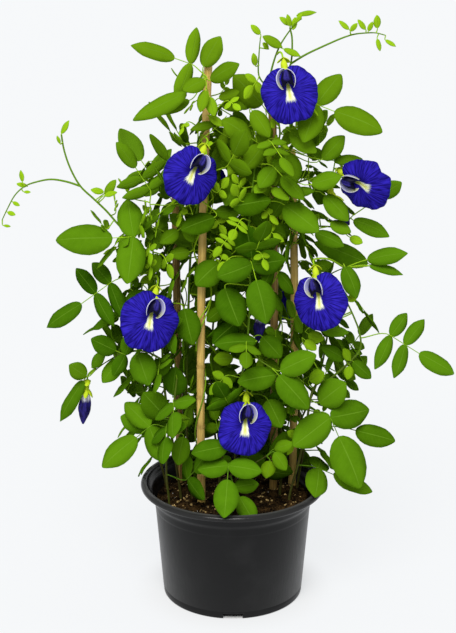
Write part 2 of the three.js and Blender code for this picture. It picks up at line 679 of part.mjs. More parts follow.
function addStalk(sheet, plan, grow) {
  const rows = stalkStations(plan).map(({ place, left }, i) => {
    const slim = i ? 1 : ROOT_SLIMNESS;
    const reach = STALK_HALF_WIDTH * slim + grow;
    return [reach, -reach].map((offset) =>
      sheet.point(place.clone().addScaledVector(left, offset), STALK_HALF_THICKNESS * slim + grow));
  });
  for (let i = 0; i + 1 < rows.length; i += 1) {
    const [[l0, r0], [l1, r1]] = [rows[i], rows[i + 1]];
    sheet.faces.push([r0, r1, l1], [r0, l1, l0]);
  }
  return rows;
}

// A whole leaf as one thin closed body, cut to the rib between its leaflets.
function leafBody(plan) {
  const sheet = new Sheet();
  const rows = addStalk(sheet, plan, 0);
  const firstPair = rows.length - 1 - 2 * plan.pairs;
  for (const leaflet of plan.leaflets) {
    const row = firstPair + 2 * leaflet.pair;
    if (leaflet.side === 0) addLeaflet(sheet, leaflet, rows.at(-1)[0], rows.at(-1)[1], 0);
    else if (leaflet.side > 0) addLeaflet(sheet, leaflet, rows[row][0], rows[row + 1][0], 0);
    else addLeaflet(sheet, leaflet, rows[row + 1][1], rows[row][1], 0);
  }
  return sheet.solid();
}

// One leaflet alone, or the stalk alone, made larger by a gap, to test what it would touch.
function leafletBody(leaflet, grow) {
  const sheet = new Sheet();
  const half = BLADE_HALF_THICKNESS + grow;
  const side = leaflet.way.clone().cross(leaflet.normal);
  const first = sheet.point(leaflet.base.clone().addScaledVector(side, -1.2), half);
  const second = sheet.point(leaflet.base.clone().addScaledVector(side, 1.2), half);
  addLeaflet(sheet, leaflet, first, second, grow);
  return sheet.solid();
}

function stalkBody(plan, grow) {
  const sheet = new Sheet();
  addStalk(sheet, plan, grow);
  return sheet.solid();
}

// What already stands, for keeping leaves clear of it

const standing = [];

function boxOf(solid) {
  const { min, max } = solid.boundingBox();
  return new THREE.Box3(vec(min), vec(max));
}

function stand(solid, piece, kind) {
  standing.push({ solid, box: boxOf(solid), piece, kind });
}

const overlap = (one, other) => one.box.intersectsBox(other.box)
  && one.solid.intersect(other.solid).volume() > 1e-6;

function touches(solid, test) {
  const tried = { solid, box: boxOf(solid) };
  return standing.some((other) => test(other) && overlap(tried, other));
}

// Whether a planned leaf stays clear of everything that stands, and of itself.
function isClear(plan, piece) {
  const blades = plan.leaflets.map((leaflet) => leafletBody(leaflet, CLEARANCE));
  if (blades.some((blade) => touches(blade, () => true))) return false;
  const foreign = (other) => other.piece !== piece || other.kind === "blade";
  if (touches(stalkBody(plan, CLEARANCE * 0.6), foreign)) return false;
  const slim = plan.leaflets.map((leaflet) => {
    const solid = leafletBody(leaflet, 0.25);
    return { solid, box: boxOf(solid), pair: leaflet.pair };
  });
  return !slim.some((one) => slim.some((other) => one.pair < other.pair && overlap(one, other)));
}

function settle(plan, piece) {
  for (const leaflet of plan.leaflets) stand(leafletBody(leaflet, 0), piece, "blade");
  stand(stalkBody(plan, 0), piece, "stalk");
}

// Leaves set by hand face the front. If one is in the way of another, it is shifted a little.
const DEPTHS = [0, -4, 4, -8, 8, -12, 12, -16, 17, 22];
const LIFTS = [0, 4, -4];
const SHIFTS = DEPTHS.flatMap((depth) => LIFTS.map((lift, i) => ({ shift: [0, depth, lift], draw: i })));

function frontFacing(place) {
  return new THREE.Vector3(place.x / 320, -1, 0.7).normalize();
}

function handLeaf(routes, [heel, tip, ...form], seed, { shift, draw }) {
  const moved = [heel, tip].map((place) => place.map((value, axis) => value + shift[axis]));
  return planLeaf(routes, [...moved, ...form], frontFacing(vec(heel)), seed * 3 + draw);
}

// Filling leaves spring from the stem at even steps, each turned on from the last by the golden
// angle, and are left out where nothing clear is found. Most hang, some rise, and all of them turn
// their faces outwards from the middle of the plant.
const FILLING_SLIMNESS = 0.62;
const FILLED_TO = 430;
const FILLED_WITHIN = 100;
const GOLDEN_ANGLE = 137.5;
const TRIES = [[0, 1], [30, 1], [-30, 1], [60, 1], [-60, 1], [0, 0.85], [30, 0.85], [-30, 0.85],
  [60, 0.85], [-60, 0.85], [95, 0.85], [-95, 0.85], [0, 0.7], [40, 0.7], [-40, 0.7], [80, 0.7],
  [-80, 0.7], [130, 0.7], [180, 0.7]];

function fillingNodes(route, spacing) {
  const nodes = [];
  let height = SOIL_LEVEL + 22;
  for (let i = 0; i + 1 < route.length; i += 1) {
    const [from, to] = [route[i], route[i + 1]];
    while (height < Math.min(to.z, FILLED_TO)) {
      const share = Math.max(0, (height - from.z) / (to.z - from.z));
      const place = from.clone().lerp(to, share);
      height += spacing;
      if (Math.hypot(place.x, place.y) < FILLED_WITHIN) {
        nodes.push({ place, turn: nodes.length * GOLDEN_ANGLE });
      }
    }
  }
  return nodes;
}

function fillingLeaf(routes, { place, turn }, seed, [angle, scale]) {
  const draw = draws(seed + 5000);
  const count = draw() < 0.15 ? 5 : 3;
  const size = (33 + 8 * draw()) * scale;
  const stalk = (15 + 14 * draw()) * scale;
  const heading = radians(turn + angle);
  const outward = new THREE.Vector3(Math.cos(heading), Math.sin(heading), 0);
  const rise = draw() < 0.3 ? 0.9 : -1 + 0.7 * draw();
  const heel = place.clone().addScaledVector(outward, stalk).addScaledVector(UP, stalk * 0.5);
  const way = outward.clone().multiplyScalar(0.7).addScaledVector(UP, rise).normalize();
  const tip = heel.clone().addScaledVector(way, size / (1 - RIB_SHARE[count]));
  const facing = new THREE.Vector3(heel.x, heel.y, 0).normalize().addScaledVector(UP, 0.5);
  return planLeaf(routes, [heel.toArray(), tip.toArray(), count, FILLING_SLIMNESS], facing, seed * 3);
}

// Blooms

// The frame of a bloom: right, crown and face are its axes.
function bloomFrame({ centre, face, crown }) {
  const front = vec(face).normalize();
  const top = vec(crown).addScaledVector(front, -vec(crown).dot(front)).normalize();
  const right = top.clone().cross(front);
  return (x, y, z) => vec(centre)
    .addScaledVector(right, x).addScaledVector(top, y).addScaledVector(front, z);
}

// The banner: a broad ruffled petal with a cleft at the crown, drawn back into its throat.
function bannerAt([width, height], reach, angle) {
  const [low, high] = [Math.max(0, -Math.sin(angle)), Math.max(0, Math.sin(angle))];
  const notch = 1 - LOW_NOTCH * low ** 24 - CLEFT * high ** 16;
  const x = (width / 2) * reach * notch * Math.cos(angle);
  const y = (height / 2) * reach * notch * Math.sin(angle);
  const throat = THROAT.depth * Math.exp(-(x * x + (y - THROAT.height) ** 2) / THROAT.spread);
  const ruffle = RUFFLE_HEIGHT * reach ** 3 * Math.sin(RUFFLES * angle);
  return [x, y, ruffle - BANNER_SWEEP * reach * reach - throat];
}

function makeBanner(bloom, half) {
  const place = bloomFrame(bloom);
  const sheet = new Sheet();
  const middle = sheet.point(place(...bannerAt(bloom.size, 0, 0)), half);
  let inner = null;
  for (const reach of [0.55, 1]) {
    const ring = [];
    for (let i = 0; i < BLOOM_SIDES; i += 1) {
      const angle = Math.PI / 2 + (2 * Math.PI * i) / BLOOM_SIDES;
      ring.push(sheet.point(place(...bannerAt(bloom.size, reach, angle)), half));
    }
    for (let i = 0; i < BLOOM_SIDES; i += 1) {
      const j = (i + 1) % BLOOM_SIDES;
      if (!inner) sheet.faces.push([middle, ring[i], ring[j]]);
      else sheet.faces.push([inner[i], ring[i], ring[j]], [inner[i], ring[j], inner[j]]);
    }
    inner = ring;
  }
  return sheet.solid();
}

const CLAW_END = [0, 21, -9.5];
const CUP_END = [0, 31, -13];

// The keel: a hood in the throat, drawn to a point towards the crown.
function makeKeel(place) {
  const hood = new THREE.SphereGeometry(1, 6, 4);
  const corners = hood.attributes.position;
  for (let i = 0; i < corners.count; i += 1) {
    const [x, y, z] = [corners.getX(i), corners.getY(i), corners.getZ(i)];
    const slim = 1 - 0.5 * Math.max(0, y) ** 1.5;
    const up = KEEL.height + KEEL.halfLength * y;
    corners.setXYZ(i, ...place(KEEL.halfWidth * x * slim, up, KEEL.halfDepth * z).toArray());
  }
  return solidOf(hood);
}

function makeBloom(bloom) {
  const place = bloomFrame(bloom);
  const claw = tube([place(0, 7, -3.2), place(0, 13, -7), place(...CLAW_END)], 2.8, 4, 1);
  return joined([makeBanner(bloom, BANNER_HALF_THICKNESS), makeKeel(place), claw]);
}

// The green cup behind a bloom, and its stalk back to the stem.
function makeCup(base, end, radius, routes) {
  const way = end.clone().sub(base).normalize();
  const cup = tube([base.clone().addScaledVector(way, SEAT_GAP), end], radius, 5, 1);
  const root = nearestOn(routes, end);
  const reach = root.distanceTo(end);
  const bend = end.clone().addScaledVector(way, Math.min(6, reach * 0.3));
  const middle = bend.clone().add(root).multiplyScalar(0.5).addScaledVector(UP, Math.min(4, reach * 0.1));
  const start = end.clone().addScaledVector(way, -2);
  return joined([cup, tube([start, bend, middle, root], 0.95, 4, 1)]);
}

// A closed bloom: a rolled spindle.
function makeBud({ base, tip, radius }) {
  const way = vec(tip).sub(vec(base));
  const length = way.length();
  const shape = turned([
    [0, 0], [radius * 0.42, 0], [radius * 0.8, length * 0.25], [radius, length * 0.5],
    [radius * 0.7, length * 0.8], [radius * 0.2, length], [0, length],
  ], 7);
  shape.applyQuaternion(new THREE.Quaternion().setFromUnitVectors(UP, way.normalize()));
  shape.translate(...base);
  return solidOf(shape);
}

// Building, outwards from what stands first

const holes = [];
const pot = makePot();
stand(pot, "pot", "pot");
addPiece("pot", pot, MATERIALS.pot);

for (const [name, cane] of Object.entries(CANES)) {
  const piece = `cane_${name}`;
  const body = makeCane(cane, CANE_RADIUS);
  stand(body, piece, "cane");
  addPiece(piece, body, MATERIALS.cane);
  const bottom = caneAt(cane, cane.bottom - SEAT_GAP);
  holes.push(holeFor(bottom, caneAt(cane, SOIL_LEVEL + 12), CANE_RADIUS + 0.8, CANE_SIDES));
}

BLOOMS.forEach((bloom, i) => {
  const piece = `bloom_${i + 1}`;
  stand(makeBanner(bloom, 3), piece, "bloom");
  addPiece(piece, makeBloom(bloom), MATERIALS.petal);
});

BUDS.forEach((bud, i) => {
  const piece = `closed_bloom_${i + 1}`;
  const body = makeBud(bud);
  stand(body, piece, "bloom");
  addPiece(piece, body, MATERIALS.bud);
});

const growth = new Map();
for (const [name, { stem, shoots }] of Object.entries(VINES)) {
  const routes = [routeOf(stem)];
  for (const shoot of shoots) {
    const [start, ...onwards] = shoot.map(vec);
    routes.push([nearestOn(routes, start), ...onwards]);
  }
  const solids = routes.map((route, i) => tube(route, i ? 1 : STEM_RADIUS, 4, 1));
  for (const solid of solids) stand(solid, `vine_${name}`, "stem");
  growth.set(name, { routes, solids });
  const [x, y, z] = stem[0];
  const end = vec([x, y, z - SEAT_GAP]);
  holes.push(holeFor(end, vec([x, y, SOIL_LEVEL + 5]), STEM_RADIUS + 0.7, STEM_HOLE_SIDES));
}

BLOOMS.forEach((bloom) => {
  const place = bloomFrame(bloom);
  const vine = growth.get(bloom.vine);
  vine.solids.push(makeCup(place(...CLAW_END), place(...CUP_END), 2.6, vine.routes));
  stand(vine.solids.at(-1), `vine_${bloom.vine}`, "stalk");
});

BUDS.forEach(({ vine: name, base, tip }) => {
  const back = vec(base).sub(vec(tip)).setLength(CUP_LENGTH);
  const vine = growth.get(name);
  vine.solids.push(makeCup(vec(base), vec(base).add(back), 2.4, vine.routes));
  stand(vine.solids.at(-1), `vine_${name}`, "stalk");
});

const soil = makeSoil(holes);
stand(soil, "soil", "soil");
addPiece("soil", soil, MATERIALS.soil);

// The first of several plans for a leaf that is clear of everything is grown on its vine.
function grow(name, plans) {
  const piece = `vine_${name}`;
  const plan = plans.find((candidate) => isClear(candidate, piece));
  if (!plan) return;
  settle(plan, piece);
  growth.get(name).solids.push(leafBody(plan));
}

let seed = 0;
for (const [name, { leaves }] of Object.entries(VINES)) {
  const { routes } = growth.get(name);
  for (const leaf of leaves) {
    seed += 1;
    grow(name, SHIFTS.map((attempt) => handLeaf(routes, leaf, seed, attempt)));
  }
}
for (const [name, { routes }] of growth) {
  for (const node of fillingNodes(routes[0], VINES[name].spacing)) {
    seed += 1;
    grow(name, TRIES.map((attempt) => fillingLeaf(routes, node, seed, attempt)));
  }
}

for (const [name, { solids }] of growth) addPiece(`vine_${name}`, joined(solids), MATERIALS.leaf);

export default plant;
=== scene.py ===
# %% [markdown]
# # A potted butterfly pea
# A young climbing vine in a nursery pot: four bamboo canes, wiry stems, leaves of three or five
# oval leaflets, and broad violet-blue blooms. This notebook dresses the plain CAD part: each CAD
# node gives way to a finer piece of the same form. Sizes are in millimetres while a piece is shaped,
# and become metres when it is finished.

import math

import bmesh
import bpy
from mathutils import Matrix, Vector, noise
from mathutils.bvhtree import BVHTree
from mathutils.geometry import intersect_point_line
from mathutils.kdtree import KDTree


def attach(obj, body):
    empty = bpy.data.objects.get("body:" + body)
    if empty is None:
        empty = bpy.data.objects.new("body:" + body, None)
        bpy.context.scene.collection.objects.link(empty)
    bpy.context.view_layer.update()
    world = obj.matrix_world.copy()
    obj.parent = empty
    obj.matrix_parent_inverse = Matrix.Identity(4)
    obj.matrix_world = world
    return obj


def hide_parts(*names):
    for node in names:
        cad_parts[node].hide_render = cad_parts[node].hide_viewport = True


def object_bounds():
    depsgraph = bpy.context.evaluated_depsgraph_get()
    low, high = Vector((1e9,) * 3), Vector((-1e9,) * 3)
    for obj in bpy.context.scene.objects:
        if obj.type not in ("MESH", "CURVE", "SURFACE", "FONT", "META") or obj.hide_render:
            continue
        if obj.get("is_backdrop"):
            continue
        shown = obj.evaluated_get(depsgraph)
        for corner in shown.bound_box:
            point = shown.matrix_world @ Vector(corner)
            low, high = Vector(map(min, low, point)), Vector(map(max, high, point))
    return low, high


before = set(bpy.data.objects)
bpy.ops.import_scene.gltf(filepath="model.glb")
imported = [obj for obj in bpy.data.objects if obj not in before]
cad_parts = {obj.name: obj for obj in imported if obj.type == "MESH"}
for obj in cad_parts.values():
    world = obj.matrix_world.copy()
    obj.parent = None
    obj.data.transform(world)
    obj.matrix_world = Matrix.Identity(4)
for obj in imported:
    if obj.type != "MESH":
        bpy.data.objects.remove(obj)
solid_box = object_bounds()
print("CAD nodes:", len(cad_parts))

# %% [markdown]
# ## Finishing a piece
# Every piece goes through the same last steps, so they are one helper: the bmesh is written to a mesh
# in metres, shaded smooth, given its material and tied to the body it moves with, and the CAD node it
# stands for is hidden. Scaling the mesh, and not the object, keeps patterns on Object coordinates in
# place.

# %% Finish a piece
TO_METRES = Matrix.Scale(0.001, 4)


def settle(piece, nodes):
    """Ties a piece to the part's one body and hides the CAD nodes it replaces."""
    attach(piece, "root")
    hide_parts(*nodes)
    return piece


def finished(shape, name, slot, nodes, *materials):
    """Writes a bmesh in millimetres to a piece of that name."""
    shape.transform(TO_METRES)
    mesh = bpy.data.meshes.new(name)
    shape.to_mesh(mesh)
    shape.free()
    mesh.shade_smooth()
    for material in materials:
        mesh.materials.append(material)
    piece = bpy.data.objects.new(name, mesh)
    bpy.context.scene.collection.objects.link(piece)
    print(f"{name}: {len(mesh.polygons)} faces")
    return settle(piece, nodes)


def thickened(piece, thickness, back_material=0):
    """Gives a sheet its thickness, half to either side. Its back may have the next material."""
    skin = piece.modifiers.new("thickness", "SOLIDIFY")
    skin.thickness = thickness
    skin.offset = 0
    skin.material_offset = back_material
    return piece


print("every finished mesh is scaled by", round(TO_METRES[0][0], 4))

# %% [markdown]
# ## Chance that repeats
# Leaves differ a little from one to the next. The CAD source draws its numbers with a small
# generator, and the same one here gives the same leaves, so that fine leaves land on plain ones.

# %% Repeatable draws
def draws(seed):
    """A function that gives one number after another between 0 and 1."""
    state = (seed * 7919) % 2147483647 or 1

    def step():
        nonlocal state
        state = (state * 16807) % 2147483647
        return (state - 1) / 2147483646

    step()
    step()
    return step


print("first draw of seed 1:", round(draws(1)(), 4))

# %% [markdown]
# ## Small tools for materials
# A material here is a Principled shader with a few pattern nodes in front of it. Numbers that hold
# all over a surface sit on the shader's own sockets. These helpers keep each material a few lines.


# %% Material helpers
def set_inputs(made, inputs):
    """Gives a node's sockets their values, or links them to other nodes' outputs."""
    for key, value in inputs.items():
        if isinstance(value, bpy.types.NodeSocket):
            made.id_data.links.new(value, made.inputs[key])
        elif hasattr(value, "__len__") and len(value) == 3 and made.inputs[key].type == "RGBA":
            made.inputs[key].default_value = (*value, 1)
        else:
            made.inputs[key].default_value = value
    return made


def node(tree, kind, inputs, **settings):
    """Adds a shader node with its settings, and its inputs by name or number."""
    made = tree.nodes.new("ShaderNode" + kind)
    for key, value in settings.items():
        setattr(made, key, value)
    return set_inputs(made, inputs)


def sums(tree, operation, a, b=0.0, c=0.0):
    """One step of arithmetic on sockets or numbers."""
    inputs = {0: a, 1: b}
    if operation in ("SMOOTH_MIN", "MULTIPLY_ADD", "WRAP"):
        inputs[2] = c
    return node(tree, "Math", inputs, operation=operation).outputs[0]


def fade(tree, value, low, high):
    """0 where value is at or past low, 1 at or past high, smooth in between."""
    inputs = {"Value": value, "From Min": low, "From Max": high}
    return node(tree, "MapRange", inputs, interpolation_type="SMOOTHSTEP").outputs[0]


def blend(tree, factor, one, other):
    """One colour giving way to the other as the factor goes from 0 to 1."""
    inputs = {"Factor": factor, 6: one, 7: other}
    return node(tree, "Mix", inputs, data_type="RGBA").outputs[2]


def grain(tree, vector, scale, detail):
    """Smooth noise between about 0.3 and 0.7."""
    inputs = {"Vector": vector, "Scale": scale, "Detail": detail}
    return node(tree, "TexNoise", inputs).outputs[0]


def stretched(tree, vector, scale):
    """Coordinates scaled by a different number each way."""
    return node(tree, "Mapping", {"Vector": vector, "Scale": scale}).outputs[0]


def place(tree):
    """The object's own coordinates, in metres."""
    return node(tree, "TexCoord", {}).outputs["Object"]


def raised(tree, height, distance, strength):
    """A bump of that many metres where height goes from 0 to 1."""
    inputs = {"Height": height, "Distance": distance, "Strength": strength}
    return node(tree, "Bump", inputs).outputs[0]


def new_finish(name, roughness, **plain):
    """A material with plain values, its node tree and its shader."""
    material = bpy.data.materials.new(name)
    material.use_nodes = True
    tree = material.node_tree
    shader = tree.nodes["Principled BSDF"]
    shader.inputs["Roughness"].default_value = roughness
    set_inputs(shader, {key.replace("_", " "): value for key, value in plain.items()})
    return material, tree, shader


# %% [markdown]
# ## The pot
# A nursery pot is blown or moulded from thin polypropylene: a tapered wall, a collar where pots
# nest, and a rim flange with a rounded lip. It is round about one axis, so one outline is spun about
# +Z, with enough points at the lip and the foot for their small curves.

# %% The pot's outline
POT_HEIGHT = 110
RIM_RADIUS = 85
LIP_RADIUS = 2.7
LIP_CENTRE = (RIM_RADIUS - LIP_RADIUS, POT_HEIGHT - 3.5)
FOOT_RADIUS = 64.7
FOOT_ROUNDING = 1.3
POT_FLOOR = 3
POT_STEPS = 144
SOIL_LEVEL = 94
NOTCH_WIDTH = 18
NOTCH_HEIGHT = 5
NOTCH_DEPTH = 12


def arc(centre, radius, start, end, count):
    """Points of a round stretch of an outline, angles in degrees."""
    points = []
    for i in range(count + 1):
        angle = math.radians(start + (end - start) * i / count)
        points.append((centre[0] + radius * math.cos(angle), centre[1] + radius * math.sin(angle)))
    return points


pot_outline = [
    (0, 0), *arc((FOOT_RADIUS - FOOT_ROUNDING, FOOT_ROUNDING), FOOT_ROUNDING, -90, 0, 4),
    (65.15, 6.2), (64.95, 6.7), (65.3, 7.2),
    (71.47, 83.7), (71.56, 84.8), (71.71, 85.1), (71.8, 86.2), (72.12, 90.2),
    (72.25, 91.8), (73.1, 93.4), (74.6, 95.0), (75.25, 96.6),
    (75.8, 101.6), (76.4, 102.7), (77.6, 103.2),
    (82.4, 103.7), *arc(LIP_CENTRE, LIP_RADIUS, -80, 85, 9),
    (81.0, 109.9), (79.9, 109.3), (79.2, 107.6), (78.6, 105.5),
    (75.6, 103.2), (74.0, 102.0), (73.2, 96.9), (71.6, 93.6), (70.0, 91.6),
    (62.8, POT_FLOOR + 0.4), (62.3, POT_FLOOR), (0, POT_FLOOR),
]
print("outline points:", len(pot_outline), "rim radius:", max(x for x, z in pot_outline))


# %% Spin the outline and cut the foot
def spun(outline, steps):
    """A closed shape turned about +Z from an outline that starts and ends on the axis."""
    shape = bmesh.new()
    corners = [shape.verts.new((radius, 0, height)) for radius, height in outline]
    edges = [shape.edges.new(pair) for pair in zip(corners, corners[1:])]
    bmesh.ops.spin(
        shape, geom=corners + edges, cent=(0, 0, 0), axis=(0, 0, 1), angle=2 * math.pi,
        steps=steps, use_merge=True,
    )
    bmesh.ops.remove_doubles(shape, verts=shape.verts, dist=1e-4)
    bmesh.ops.recalc_face_normals(shape, faces=shape.faces)
    return shape


def foot_notches():
    """Blocks at the four places where the foot's edge is cut away."""
    blocks = bmesh.new()
    for quarter in range(4):
        size = Matrix.Diagonal((NOTCH_WIDTH, NOTCH_DEPTH, NOTCH_HEIGHT * 2, 1))
        turn = Matrix.Rotation(quarter * math.pi / 2, 4, "Z")
        bmesh.ops.create_cube(
            blocks, size=1, matrix=turn @ Matrix.Translation((0, -FOOT_RADIUS, 0)) @ size,
        )
    blocks.transform(TO_METRES)
    mesh = bpy.data.meshes.new("notches")
    blocks.to_mesh(mesh)
    blocks.free()
    cutter = bpy.data.objects.new("notches", mesh)
    bpy.context.scene.collection.objects.link(cutter)
    return cutter


def cut_away(piece, cutter):
    """Takes a cutter out of a piece for good."""
    cut = piece.modifiers.new("notches", "BOOLEAN")
    cut.operation = "DIFFERENCE"
    cut.object = cutter
    bpy.context.view_layer.update()
    shown = piece.evaluated_get(bpy.context.evaluated_depsgraph_get())
    mesh = bpy.data.meshes.new_from_object(shown)
    piece.modifiers.clear()
    piece.data = mesh
    bpy.data.objects.remove(cutter)


# %% [markdown]
# The plastic is carbon-black polypropylene. It isn't quite black: it is a cool dark grey, satin, with
# a faint flow texture from the mould, some dust and fine rub marks, so that its sides catch a soft
# light. The rim is polished smoother by handling, and its paler colour is painted sheen; the paler ring
# along its crest is a painted highlight. Heights here are in metres.
# The bump is far finer than a millimetre.

# %% Pot plastic
PLASTIC_BLACK = (0.0044, 0.0045, 0.0047)
PLASTIC_DUSTY = (0.0088, 0.0089, 0.0092)
# The rim's paler colour is painted sheen, and the crest's paler colour is a painted highlight.
RIM_PAINTED_SHEEN = (0.013, 0.013, 0.0128)
CREST_PAINTED_HIGHLIGHT = (0.045, 0.045, 0.044)
RIM_HEIGHTS = (0.1018, 0.1034)
CREST_HEIGHTS = (0.1087, 0.1097)


def pot_plastic():
    """Dark plastic with dust in clouds, a smoother rim with a painted sheen, and a painted highlight on
    its crest.
    """
    material, tree, shader = new_finish("pot_plastic", 0.36, Specular_IOR_Level=0.17)
    where = place(tree)
    cloud = grain(tree, where, 22.0, 5.0)
    rubs = grain(tree, stretched(tree, where, (60, 60, 9)), 10.0, 4.0)
    dust = fade(tree, cloud, 0.5, 0.75)
    color = blend(tree, dust, PLASTIC_BLACK, PLASTIC_DUSTY)
    up = node(tree, "SeparateXYZ", {0: where}).outputs["Z"]
    rim = fade(tree, up, *RIM_HEIGHTS)
    # Painted sheen on the rim, then a painted highlight along the crest.
    color = blend(tree, rim, color, RIM_PAINTED_SHEEN)
    color = blend(tree, fade(tree, up, *CREST_HEIGHTS), color, CREST_PAINTED_HIGHLIGHT)
    rough = sums(tree, "MULTIPLY_ADD", rubs, 0.16, 0.27)
    rough = sums(tree, "MULTIPLY_ADD", rim, -0.17, rough)
    height = sums(tree, "MULTIPLY_ADD", grain(tree, where, 900.0, 2.0), 0.5, rubs)
    set_inputs(shader, {"Base Color": color, "Roughness": rough})
    set_inputs(shader, {"Normal": raised(tree, height, 0.00012, 0.5)})
    return material


pot = finished(spun(pot_outline, POT_STEPS), "pot_moulded", "pot", ["pot"], pot_plastic())
cut_away(pot, foot_notches())
print("pot faces after the notches:", len(pot.data.polygons))

# %% [markdown]
# ## The canes
# Thin whole bamboo canes, about as thick as a pencil. Each is nearly straight, slightly bent, with a
# low ring at every knuckle and a groove above it. A tube is swept along the bent middle line: a
# circle is extruded ring by ring, and each ring is set to its own place and radius.

# %% Sweep a round bar along a line
CANE_RADIUS = 3.7
CANES = {
  "front_left": {
    "bottom": 14, "foot": [-28.6, -18, 94], "middle": [-28, -14, 277], "top": [-21, -10, 492],
    "knuckles": [168, 196, 225, 302, 398],
  },
  "back_left": {
    "bottom": 62, "foot": [-49.5, 36, 94], "middle": [-51, 38.5, 240], "top": [-52, 42, 402],
    "knuckles": [150, 236, 330],
  },
  "centre_right": {
    "bottom": 14, "foot": [38, 15, 94], "middle": [37, 15, 300], "top": [34, 14, 455],
    "knuckles": [176, 270, 362],
  },
  "right": {
    "bottom": 62, "foot": [56, 25, 94], "middle": [56.5, 27, 250], "top": [52, 30, 412],
    "knuckles": [160, 246, 338],
  },
}


def swept(shape, stations, sides):
    """Extrudes a ring of a few sides through (centre, radius) stations, and caps both ends."""
    centres = [centre for centre, radius in stations]
    ring = bmesh.ops.create_circle(shape, cap_ends=False, radius=1, segments=sides)["verts"]
    edges = list({edge for corner in ring for edge in corner.link_edges})
    way = (centres[1] - centres[0]).normalized()
    turn = Vector((0, 0, 1)).rotation_difference(way)
    first = edges
    for i, (centre, radius) in enumerate(stations):
        ahead = (centres[min(i + 1, len(centres) - 1)] - centres[max(i - 1, 0)]).normalized()
        turn = (turn @ Vector((0, 0, 1))).rotation_difference(ahead) @ turn
        if i:
            grown = bmesh.ops.extrude_edge_only(shape, edges=edges)["geom"]
            ring = [part for part in grown if isinstance(part, bmesh.types.BMVert)]
            edges = [part for part in grown if isinstance(part, bmesh.types.BMEdge)]
        for step, corner in enumerate(ring):
            angle = 2 * math.pi * step / sides
            flat = Vector((radius * math.cos(angle), radius * math.sin(angle), 0))
            corner.co = centre + turn @ flat
    bmesh.ops.holes_fill(shape, edges=first + edges, sides=sides)


print("canes:", len(CANES), "knuckles:", sum(len(cane["knuckles"]) for cane in CANES.values()))

# %% Place each cane
TOP_TAPER = 0.05
KNUCKLE_RISE, KNUCKLE_SPREAD = 0.42, 1.3
GROOVE_DEPTH, GROOVE_SPREAD, GROOVE_ABOVE = 0.22, 1.2, 3.2


def cane_at(cane, z):
    """The middle of a cane at a height: a parabola through its three points."""
    foot, middle, top = cane["foot"], cane["middle"], cane["top"]
    below = (z - middle[2]) * (z - top[2]) / ((foot[2] - middle[2]) * (foot[2] - top[2]))
    within = (z - foot[2]) * (z - top[2]) / ((middle[2] - foot[2]) * (middle[2] - top[2]))
    above = (z - foot[2]) * (z - middle[2]) / ((top[2] - foot[2]) * (top[2] - middle[2]))
    x, y = (foot[k] * below + middle[k] * within + top[k] * above for k in (0, 1))
    return Vector((x, y, z))


def cane_radius(cane, z):
    """Thick at each knuckle, with a shallow groove just above it, and slimmer to the top."""
    share = (z - cane["bottom"]) / (cane["top"][2] - cane["bottom"])
    radius = CANE_RADIUS * (1 - TOP_TAPER * share)
    for knuckle in cane["knuckles"]:
        radius += KNUCKLE_RISE * math.exp(-(((z - knuckle) / KNUCKLE_SPREAD) ** 2))
        radius -= GROOVE_DEPTH * math.exp(-(((z - knuckle - GROOVE_ABOVE) / GROOVE_SPREAD) ** 2))
    return radius


def cane_stations(cane):
    """Heights every 6 mm, and every 0.8 mm about the knuckles."""
    bottom, top = cane["bottom"], cane["top"][2]
    heights = {bottom + 6.0 * i for i in range(int((top - bottom) / 6) + 1)} | {top - 0.4, top}
    for knuckle in cane["knuckles"]:
        heights |= {knuckle + 0.8 * i for i in range(-5, 9)}
    stations = [(cane_at(cane, z), cane_radius(cane, z)) for z in sorted(heights)]
    stations[-1] = (stations[-1][0], CANE_RADIUS * 0.84)
    return stations


print("rings up each cane:", {name: len(cane_stations(cane)) for name, cane in CANES.items()})

# %% [markdown]
# Bamboo is straw to tan, with long fibres, darker bands at the knuckles and dark weather stains.
# Stretching a noise along the cane gives the fibres. The knuckle bands need the cane's own heights,
# so a vertex attribute carries how near each ring is to a knuckle. Two of the canes are paler, in sunlit
# colours; the other two have darker colours of painted shade.

# %% Bamboo
CANE_SIDES = 28
BAND_SHADE = 0.35
BAND_ABOVE, BAND_SPREAD = 1.2, 1.9
SUNLIT_STRAW, SUNLIT_TAN = (0.64, 0.45, 0.13), (0.46, 0.295, 0.068)
# The darker pair of colours is a shaded copy of the bamboo: painted shade.
SHADED_STRAW, SHADED_TAN = (0.42, 0.27, 0.075), (0.20, 0.115, 0.03)


def bamboo(name, pale, dark):
    """Fibres of two tones, with stains and knuckle bands of a deeper one."""
    material, tree, shader = new_finish(name, 0.5, Specular_IOR_Level=0.2)
    where = place(tree)
    fibres = grain(tree, stretched(tree, where, (1, 1, 0.035)), 900.0, 4.0)
    stains = grain(tree, stretched(tree, where, (1, 1, 0.3)), 60.0, 5.0)
    near = node(tree, "Attribute", {}, attribute_name="knuckle").outputs["Fac"]
    color = blend(tree, fade(tree, fibres, 0.3, 0.7), dark, pale)
    deep = tuple(channel * BAND_SHADE for channel in dark)
    color = blend(tree, sums(tree, "MULTIPLY", fade(tree, stains, 0.54, 0.76), 0.6), color, deep)
    color = blend(tree, sums(tree, "MULTIPLY", near, 0.6), color, deep)
    bump = raised(tree, fibres, 0.00025, 0.6)
    set_inputs(shader, {"Base Color": color, "Normal": bump})
    set_inputs(shader, {"Roughness": sums(tree, "MULTIPLY_ADD", stains, 0.3, 0.32)})
    return material


sunlit_bamboo = bamboo("bamboo_sunlit", SUNLIT_STRAW, SUNLIT_TAN)
shaded_bamboo = bamboo("bamboo_shaded", SHADED_STRAW, SHADED_TAN)
# The front and right canes take the sunlit colours, the others the darker colours of painted shade.
BAMBOO_OF = {"front_left": sunlit_bamboo, "right": sunlit_bamboo}

